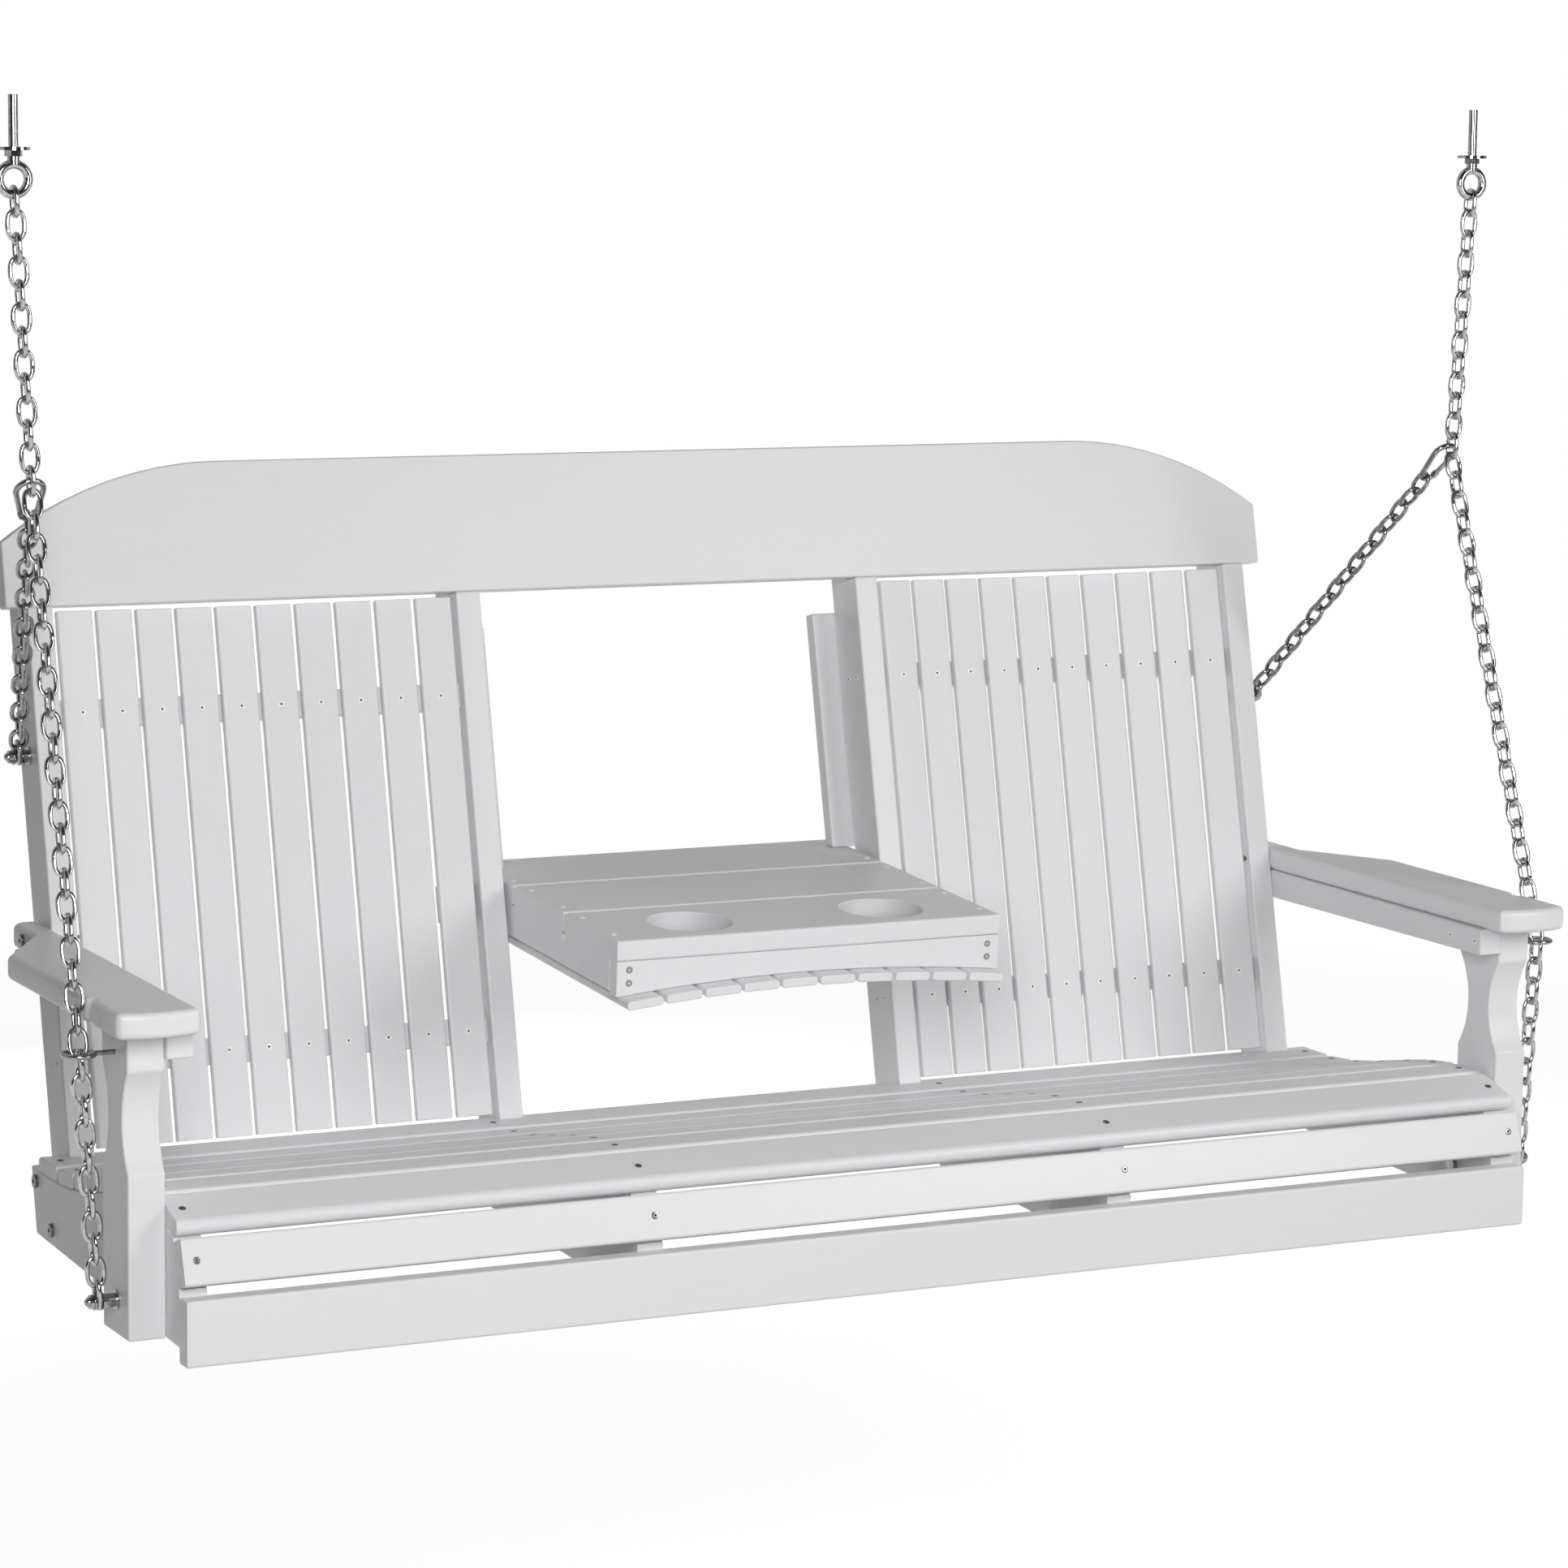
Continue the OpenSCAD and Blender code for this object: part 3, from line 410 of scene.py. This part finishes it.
def in_joint(edge, joint, level):
    """True for an edge where a second board sits flush, so that the two look like one."""
    along = edge.verts[1].co - edge.verts[0].co
    across_table = abs(along.dot(TABLE_UP)) > MOSTLY * along.length
    butted = joint < 0 and across_table and edge.verts[0].co.y > CONSOLE_FRONT
    return butted or min(joint * v.co.dot(TABLE_UP) for v in edge.verts) >= level - FLUSH


print(f"the console's front is at y {CONSOLE_FRONT:.3f} m")

# %% [markdown]
# The arms have the widest round, and a notch with a tight curve for the chain. A wide bevel on a
# tight curve folds over itself, so the curve first loses two of every three of its edges.

# %% Round one board
SMALL_EDGE, BOARD_EDGE, ARM_EDGE = 1.5 * MM, 2.5 * MM, 6.5 * MM
ROUND_SEGMENTS = 3
KEEP_ONE_IN = 3
FLAT = math.radians(0.3)   # faces that meet at less than this become one


def thin_out_curves(shape, radius):
    """Keeps one in three of the upright edges of a tight curve, and returns how many went."""
    steps = [e for e in shape.edges if upright(e) and e.calc_length() > 3 * radius
             and e.calc_face_angle(0.0) < FOLD and shortest_beside(e) < radius / 2]
    steps.sort(key=lambda e: e.verts[0].co.y)
    spare = [e for k, e in enumerate(steps, 1) if k % KEEP_ONE_IN]
    bmesh.ops.dissolve_edges(shape, edges=spare, use_verts=True)
    return len(spare)


def round_board(node, radius, material, joint):
    """A copy of a packed board with its outline rounded to a radius in metres.

    A joint of 1 keeps the edges sharp round the board's top face. A joint of -1 keeps them sharp
    round its underside and at the corners where the next board of the table butts against it.
    """
    shape = open_node(node)
    bmesh.ops.dissolve_limit(shape, angle_limit=FLAT, verts=shape.verts, edges=shape.edges)
    if radius >= ARM_EDGE:
        print(f"{node}: {thin_out_curves(shape, radius)} edges of its chain notch left out")
    level = max(joint * v.co.dot(TABLE_UP) for v in shape.verts)
    rounded = []
    for group in corner_groups(shape):
        if span(group) > BORE_RIM:
            rounded += [e for e in group if not (joint and in_joint(e, joint, level))
                        and not (upright(e) and shortest_beside(e) < radius)]
    bmesh.ops.bevel(shape, geom=rounded, offset=radius, segments=ROUND_SEGMENTS, profile=0.5,
                    affect="EDGES", clamp_overlap=False)
    mesh = bpy.data.meshes.new(node + "_rounded")
    shape.to_mesh(mesh)
    shape.free()
    shade_by_angle(mesh)
    piece = finish_piece(mesh, node + "_rounded", node, material)
    weighted = piece.modifiers.new("flat faces stay flat", "WEIGHTED_NORMAL")
    weighted.keep_sharp = True
    return piece


print("rounds of", ", ".join(f"{edge / MM:.1f}" for edge in (SMALL_EDGE, BOARD_EDGE, ARM_EDGE)), "mm")

# %% [markdown]
# Each board is listed once, with the way that it runs and the round that its edges have. In the
# console, the side boards and the front one carry the top boards, and each joint is flush.

# %% Round every board
JOINTS = {"console_left_side": 1, "console_right_side": 1, "console_front_apron": 1,
          "console_front_board": -1, "console_middle_board": -1, "console_rear_board": -1}
BOARDS = [
    ("x", BOARD_EDGE, ["crown_rail"]),
    ("x", SMALL_EDGE, ["seat_nose_slat", "seat_last_slat", "fascia_board", "lower_apron",
                       "rear_stretcher", "front_stretcher",
                       "left_upper_cross_rail", "left_lower_cross_rail",
                       "right_upper_cross_rail", "right_lower_cross_rail",
                       "console_front_board", "console_middle_board", "console_rear_board",
                       "console_front_apron", "console_cross_rails"]
                      + [f"seat_slat_{k}" for k in range(2, 8)]),
    ("back", BOARD_EDGE, ["left_outer_stile", "left_inner_stile",
                          "right_inner_stile", "right_outer_stile", "console_stop_strips"]),
    ("back", SMALL_EDGE, ["left_back_slats", "right_back_slats", "pivot_blocks"]),
    ("y", BOARD_EDGE, ["left_end_board", "right_end_board", "left_mid_support", "right_mid_support",
                       "left_arm_apron", "right_arm_apron"]),
    ("y", SMALL_EDGE, ["console_left_side", "console_right_side", "console_slats"]),
    ("y", ARM_EDGE, ["left_arm", "right_arm"]),
    ("z", BOARD_EDGE, ["left_arm_post", "right_arm_post"]),
]
for way, edge, members in BOARDS:
    for node in members:
        piece = round_board(node, edge, lumber[way], JOINTS.get(node, 0))
        print(f"{node}: {len(piece.data.polygons)} faces")

# %% [markdown]
# ## Chain links
#
# A chain link is a round wire bent into a long ring, with its ends butt-welded on one side. The
# packed chain gives each link's place. Here every link is found again as a loose part of that
# chain, its three axes are measured, and a smooth tube with a small weld seam is put there.

# %% A welded link
LINK_STEPS, WIRE_SIDES = 56, 12
OVAL = 0.78                # 1 is an ellipse, and less is a fuller oval
WELD_SWELL = 0.09          # how much thicker the wire is at the weld
WELD_REACH = 0.12          # the weld's half length, as a share of the link's
SAMPLE_LINK = (30 * MM, 20 * MM, 5 * MM)


def link_ring(length, width, wire):
    """Points along a link's centre line, with the wire's radius at each: it swells at the weld."""
    half_width, half_length = (width - wire) / 2, (length - wire) / 2
    around = []
    for k in range(LINK_STEPS):
        a = 2 * math.pi * k / LINK_STEPS
        across, along = math.cos(a), math.sin(a)
        around.append(Vector((math.copysign(half_width * abs(across) ** OVAL, across), 0.0,
                              math.copysign(half_length * abs(along) ** OVAL, along))))
    weld = Vector((-half_width, 0.0, 0.0))
    radii = [wire / 2 * (1.0 + WELD_SWELL * ((p - weld).length < WELD_REACH * half_length)) for p in around]
    return around, radii


print(len(link_ring(*SAMPLE_LINK)[0]), "points round a link")

# %% [markdown]
# A tube is a ring of points at each step of a path, joined by four-sided faces. It is closed for
# a link, and open with two caps for a screw's shank.

# %% A tube along a path
def tube(path, radii, sides, closed, normal):
    """Vertices and faces of a tube around a path that lies in the plane across normal."""
    verts, faces = [], []
    count = len(path)
    for k, point in enumerate(path):
        ahead = path[(k + 1) % count] if closed or k + 1 < count else point
        behind = path[k - 1] if closed or k > 0 else point
        out = (ahead - behind).normalized().cross(normal)
        for s in range(sides):
            a = 2 * math.pi * s / sides
            verts.append(point + radii[k] * (math.cos(a) * out + math.sin(a) * normal))
    for k in range(count if closed else count - 1):
        for s in range(sides):
            a, b = k * sides + s, k * sides + (s + 1) % sides
            c, d = (k + 1) % count * sides + s, (k + 1) % count * sides + (s + 1) % sides
            faces.append((a, c, d, b))
    if not closed:
        faces.append(tuple(range(sides)))
        faces.append(tuple(reversed(range((count - 1) * sides, count * sides))))
    return verts, faces


def add_turned(verts, faces, new_verts, new_faces, turn, at):
    """Adds a shape to growing lists of points and faces, turned and moved to its place."""
    faces += [tuple(i + len(verts) for i in face) for face in new_faces]
    verts += [turn @ v + at for v in new_verts]


X_AXIS, Y_AXIS, Z_AXIS = Vector((1.0, 0.0, 0.0)), Vector((0.0, 1.0, 0.0)), Vector((0.0, 0.0, 1.0))
print(len(tube(*link_ring(*SAMPLE_LINK), WIRE_SIDES, True, Y_AXIS)[1]), "faces on a link")

# %% [markdown]
# A packed chain or set of screws is one node with many solids. Each is found as a group of points
# that touch, and its main directions come from a singular value decomposition of the points.

# %% Find and measure the loose parts of a packed node
def loose_parts(node):
    """The corner points of each separate solid of a node, as one array for each."""
    shape = open_node(node)
    groups = touching_groups(shape.verts, lambda v: [e.other_vert(v) for e in v.link_edges])
    parts = [np.array([v.co for v in group]) for group in groups]
    shape.free()
    return sorted(parts, key=lambda part: tuple(np.round(part.mean(0), 5)))


def own_axes(points):
    """Centre, axes (longest first) and lengths along them of a cloud of points."""
    mean = points.mean(0)
    _, _, axes = np.linalg.svd(points - mean, full_matrices=False)
    along = (points - mean) @ axes.T
    middle = mean + (along.max(0) + along.min(0)) / 2 @ axes
    return middle, axes, [float(v) for v in along.max(0) - along.min(0)]


print("a link of", [round(v / MM, 1) for v in own_axes(loose_parts("left_main_chain")[0])[2]], "mm")

# %% [markdown]
# A link's longest axis becomes the tube's Z and its thinnest the tube's Y. Where that turn would
# mirror the link, one axis is reversed.

# %% Put a link at every place of the packed chains
def chain_of_links(node, material):
    verts, faces = [], []
    for part in loose_parts(node):
        middle, axes, lengths = own_axes(part)
        path, radii = link_ring(*lengths)
        turn = Matrix((Vector(axes[1]), Vector(axes[2]), Vector(axes[0]))).transposed()
        if turn.determinant() < 0:
            turn = turn @ Matrix.Diagonal((1.0, -1.0, 1.0))
        add_turned(verts, faces, *tube(path, radii, WIRE_SIDES, True, Y_AXIS), turn, Vector(middle))
    mesh = bpy.data.meshes.new(node + "_links")
    mesh.from_pydata(verts, [], faces)
    mesh.shade_smooth()
    return finish_piece(mesh, node + "_links", node, material)


for node, metal in (("left_main_chain", chain_zinc), ("right_main_chain", chain_zinc),
                    ("left_rear_chain", hook_zinc), ("right_rear_chain", hook_zinc)):
    links = chain_of_links(node, metal)
    print(f"{node}: {len(links.data.polygons)} faces")

# %% [markdown]
# ## Screws and frame bolts
#
# Each has a low domed head with a rounded rim and a six-pointed drive hole. Those through the
# back slats and the arms have white caps. Those in the table's top are plain white domes. Those
# in the console's front are grey with a pale drive, those in the fascia are bare steel, and the
# rest are dark. In all but the plain and grey kinds the drive hole is painted near black, as
# painted shade. The kind follows from the node, from the head's size and from the way that it
# faces.

# %% Kinds of screw
# The palette's near-black hole coat is painted shade in the drive holes.
PALETTE = [white_cap, screw_steel, dark_steel, drive_hole_painted_shade, screw_grey]
CAP, STEEL, DARK, HOLE_PAINTED_SHADE, GREY = range(len(PALETTE))
KINDS = {                  # the palette's places for a head's top, its hole and its rim
    "capped": (CAP, HOLE_PAINTED_SHADE, CAP),
    "plain": (CAP, CAP, CAP),
    "grey": (GREY, CAP, GREY),
    "steel": (STEEL, HOLE_PAINTED_SHADE, DARK),
    "dark": (DARK, HOLE_PAINTED_SHADE, DARK),
}
BOLT_HEAD = 5 * MM         # a head of a larger radius belongs to a frame bolt
FORWARD = -0.7             # a head whose direction has a Y below this faces the front


def screw_kind(node, facing, head):
    if node == "back_screws" or (node == "frame_bolts" and head < BOLT_HEAD):
        return "capped"
    if node == "console_screws":
        return "grey" if facing.y < FORWARD else "plain"
    return "steel" if facing.y < FORWARD else "dark"


print(len(KINDS), "kinds of screw")

# %% [markdown]
# A head is a pile of rings, from its underside out over the rim and down into the drive hole.
# Each ring is its radius, its height over the board and how deeply the star's points cut it.

# %% A screw head with a star drive
HEAD_DEPTH, DOME = 2.4 * MM, 0.5 * MM
HEAD_STEPS = 36
STAR_POINTS = 6
STAR_SIZE = 0.33           # the hole's radius, as a share of the head's
STAR_CUT = 0.22


def head_rings(radius):
    """The rings of a head, and how many of them lie below its top."""
    star, rim = STAR_SIZE * radius, 0.5 * DOME
    side = [(0.0, -HEAD_DEPTH, 0.0), (radius, -HEAD_DEPTH, 0.0), (radius, 0.3 * DOME, 0.0)]
    side += [(radius - rim * (1 - math.cos(a)), 0.8 * DOME - rim * (1 - math.sin(a)), 0.0)
             for a in (math.radians(30), math.radians(60), math.radians(90))]
    top = [(0.62 * radius, 0.93 * DOME, 0.0), (1.25 * star, DOME, 0.0), (star, 0.8 * DOME, STAR_CUT)]
    hole = [(star, -0.5 * HEAD_DEPTH, STAR_CUT), (0.0, -0.55 * HEAD_DEPTH, 0.0)]
    return side + top + hole, len(side) - 1, len(side + top) - 1


def screw_head(radius, kind):
    """Vertices, faces and each face's place in the palette, for a head of a kind."""
    rings, rim_end, top_end = head_rings(radius)
    top, hole, edge = KINDS[kind]
    verts, faces, slots = [], [], []
    for r, z, cut in rings:
        for k in range(HEAD_STEPS):
            a = 2 * math.pi * k / HEAD_STEPS
            reach = r * (1 + cut * math.cos(STAR_POINTS * a))
            verts.append(Vector((reach * math.cos(a), reach * math.sin(a), z)))
    for j in range(len(rings) - 1):
        here, beyond = j * HEAD_STEPS, (j + 1) * HEAD_STEPS
        for k in range(HEAD_STEPS):
            n = (k + 1) % HEAD_STEPS
            faces.append((here + k, here + n, beyond + n, beyond + k))
            slots.append(edge if j < rim_end else top if j < top_end else hole)
    return verts, faces, slots


print(len(screw_head(4 * MM, "dark")[1]), "faces on a head")

# %% [markdown]
# A packed screw is a solid with a wide end and a narrow one. The wide end is its head, so the
# points far from the axis tell which way the screw faces. The shank is a plain tube.

# %% Put a head and a shank at every screw
SHANK = 2.0 * MM
SHANK_SIDES = 10
SHANK_START = -0.95 * HEAD_DEPTH
WIDE = 0.8                 # points further out than this share of the widest belong to the head


def screws(node):
    """Dresses every screw of a node: each is a loose part whose wide end is its head."""
    verts, faces, slots = [], [], []
    for part in loose_parts(node):
        middle, axes, lengths = own_axes(part)
        axis = axes[0]
        along = (part - middle) @ axis
        spread = np.linalg.norm((part - middle) - np.outer(along, axis), axis=1)
        if along[spread > WIDE * spread.max()].mean() < 0:
            axis, along = -axis, -along
        head = float(spread.max())
        face = Vector(middle + axis * along.max())
        facing = Vector(axis)
        turn = Z_AXIS.rotation_difference(facing).to_matrix()
        head_verts, head_faces, head_slots = screw_head(head, screw_kind(node, facing, head))
        add_turned(verts, faces, head_verts, head_faces, turn, face)
        slots += head_slots
        path = [Vector((0.0, 0.0, SHANK_START)), Vector((0.0, 0.0, -lengths[0]))]
        rod_verts, rod_faces = tube(path, [SHANK] * 2, SHANK_SIDES, False, X_AXIS)
        add_turned(verts, faces, rod_verts, rod_faces, turn, face)
        slots += [STEEL] * len(rod_faces)
    mesh = bpy.data.meshes.new(node + "_heads")
    mesh.from_pydata(verts, [], faces)
    mesh.polygons.foreach_set("material_index", slots)
    shade_by_angle(mesh)
    return finish_piece(mesh, node + "_heads", node, *PALETTE)


for node in ("seat_screws", "back_screws", "console_screws", "frame_bolts"):
    heads = screws(node)
    print(f"{node}: {len(heads.data.polygons)} faces")

# %% [markdown]
# ## Small hardware
#
# The hooks, guide rings, hangers, chain bolts and pivot bolts are already round in the packed
# model, so they keep their shape and only take a finish.

# %% Finish the small hardware
HARDWARE = {
    hook_zinc: ["left_snap_hook", "right_snap_hook", "left_hook_gate", "right_hook_gate"],
    chain_zinc: ["left_hanger", "right_hanger"],
    ring_steel: ["guide_rings"],
    bolt_steel: ["chain_bolts", "pivot_bolts"],
}
for material, members in HARDWARE.items():
    for node in members:
        mesh = nodes[node].data
        mesh.materials.clear()
        mesh.materials.append(material)
        shade_by_angle(mesh)
        print(f"{node}: {len(mesh.polygons)} faces")

# %% [markdown]
# ## Floor
#
# The swing hangs over the pale floor of a white studio. The camera sees the floor glow nearly
# white, and the rest of its brightness comes from the lamps, so the swing's shadow stays on it.
# Far from the swing it fades to the plain white of the background. To every other ray it is a
# light grey, which lights the swing a little from below.

# %% Build the floor
FLOOR_DROP = 0.42          # from the seat's lowest board to the floor
FLOOR_RADIUS, FLOOR_SIDES = 7.0, 96
FLOOR_GLOW = 0.82          # what the camera sees of a floor that no lamp lights
FLOOR_PALE = grey(0.30)    # what the lamps and the shadow act on
FLOOR_BOUNCE = grey(0.55)  # the floor's colour for every ray but the camera's and a mirror's
FADE = (2.2, 4.5)          # the floor turns white between these distances
floor_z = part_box("lower_apron")[0].z - FLOOR_DROP


def ray_kinds(start):
    """Fields that are 1 for the camera's rays, for a mirror's and for those through clear things."""
    outputs = start.node("LightPath").socket.node.outputs
    return [Field(start.tree, outputs[f"Is {kind} Ray"]) for kind in ("Camera", "Glossy", "Transmission")]


def floor_material():
    material = bpy.data.materials.new("pale_floor")
    material.use_nodes = True
    material.node_tree.nodes.clear()
    start = Field(material.node_tree)
    where = start.node("TexCoord", out="Object")
    distance = where.node("VectorMath", {"operation": "LENGTH"}, {0: where}, out="Value")
    camera_ray, glossy_ray, clear_ray = ray_kinds(start)
    pale = start.node("BsdfDiffuse", None, {"Color": FLOOR_PALE})
    glow = start.node("Emission", None, {"Color": WHITE, "Strength": FLOOR_GLOW})
    white = start.node("Emission", None, {"Color": WHITE, "Strength": 1.0})
    near = start.node("AddShader", None, {0: pale, 1: glow})
    seen = start.node("MixShader", None, {0: distance.between(*FADE), 1: near, 2: white})
    bounce = start.node("BsdfDiffuse", None, {"Color": FLOOR_BOUNCE})
    looked_at = (camera_ray + glossy_ray + clear_ray).between(0.0, 1.0)
    end = start.node("MixShader", None, {0: looked_at, 1: bounce, 2: seen})
    start.node("OutputMaterial", None, {"Surface": end})
    return material


def stage_floor():
    mesh = bpy.data.meshes.new("floor")
    disc = bmesh.new()
    bmesh.ops.create_circle(disc, cap_ends=True, segments=FLOOR_SIDES, radius=FLOOR_RADIUS)
    disc.to_mesh(mesh)
    disc.free()
    mesh.materials.append(floor_material())
    floor = bpy.data.objects.new("floor", mesh)
    floor.location.z = floor_z
    bpy.context.scene.collection.objects.link(floor)


stage_floor()
print(f"floor at {floor_z:.3f} m")

# %% [markdown]
# ## Surroundings
#
# What the camera sees behind the swing is plain white. Bright metal needs something to mirror, so
# the surroundings that it sees are pale behind the swing and dark on the camera's side, as in a
# real studio. To every other ray they are dim, and a little brighter overhead, which fills in the
# tops of the boards.

# %% Build the surroundings
SIDE_FILL, TOP_FILL = 0.03, 0.13       # what lights the swing, near the horizon and overhead
SIDE_DARK, BACK_BRIGHT = 0.05, 0.58    # what metal sees, on the camera's side and behind the swing
FILL_RAMP, MIRROR_RAMP = (0.25, 0.6), (-0.25, 0.15)


def surroundings():
    world = bpy.data.worlds.new("studio")
    bpy.context.scene.world = world
    world.use_nodes = True
    world.node_tree.nodes.clear()
    start = Field(world.node_tree)
    camera_ray, glossy_ray, clear_ray = ray_kinds(start)
    way = start.node("TexCoord", out="Generated")
    apart = way.node("SeparateXYZ", None, {0: way}).socket.node.outputs
    back, height = Field(start.tree, apart["Y"]), Field(start.tree, apart["Z"])
    mirror_level = SIDE_DARK + (BACK_BRIGHT - SIDE_DARK) * back.between(*MIRROR_RAMP)
    fill_level = SIDE_FILL + (TOP_FILL - SIDE_FILL) * height.between(*FILL_RAMP)
    fill, mirror, white = (start.node("Background", None, {"Color": WHITE, "Strength": strength})
                           for strength in (fill_level, mirror_level, 1.0))
    reflected = (glossy_ray + clear_ray).between(0.0, 1.0)
    unseen = start.node("MixShader", None, {0: reflected, 1: fill, 2: mirror})
    end = start.node("MixShader", None, {0: camera_ray, 1: unseen, 2: white})
    start.node("OutputWorld", None, {"Surface": end})


surroundings()
print("surroundings:", bpy.context.scene.world.name)

# %% [markdown]
# ## Lamps
#
# Two tall soft lamps stand in front of the swing, left and right. Both light the fronts of the
# boards, and the stronger left one reaches across to the faces that look left. Two more lamps,
# level with the seat, light its back and its right side, and mirrors don't see them. The
# Standard view shows each colour about as it is written.

# %% Light the swing
SEAT_MIDDLE = (0.0, 0.0, -0.75)
LAMPS = {                  # place, width and height in metres, watts, and whether mirrors see it
    "left_lamp": ((-1.4, -2.8, 0.2), (1.0, 1.4), 58.0, True),
    "right_lamp": ((1.6, -2.4, 0.2), (1.0, 1.4), 31.0, True),
    "back_lamp": ((0.0, 3.4, -0.75), (2.0, 0.9), 54.0, False),
    "far_side_lamp": ((3.4, 0.6, -0.75), (1.4, 0.9), 50.0, False),
}


def soft_lamp(name, at, size, watts, mirrored):
    data = bpy.data.lights.new(name, "AREA")
    data.shape = "RECTANGLE"
    data.size, data.size_y = size
    data.energy = watts
    lamp = bpy.data.objects.new(name, data)
    bpy.context.scene.collection.objects.link(lamp)
    lamp.location = at
    lamp.rotation_euler = (Vector(SEAT_MIDDLE) - Vector(at)).to_track_quat("-Z", "Y").to_euler()
    lamp.visible_glossy = mirrored


for name, settings in LAMPS.items():
    soft_lamp(name, *settings)
    print(f"{name}: {settings[2]:.0f} W")

bpy.context.scene.view_settings.view_transform = "Standard"

# %% [markdown]
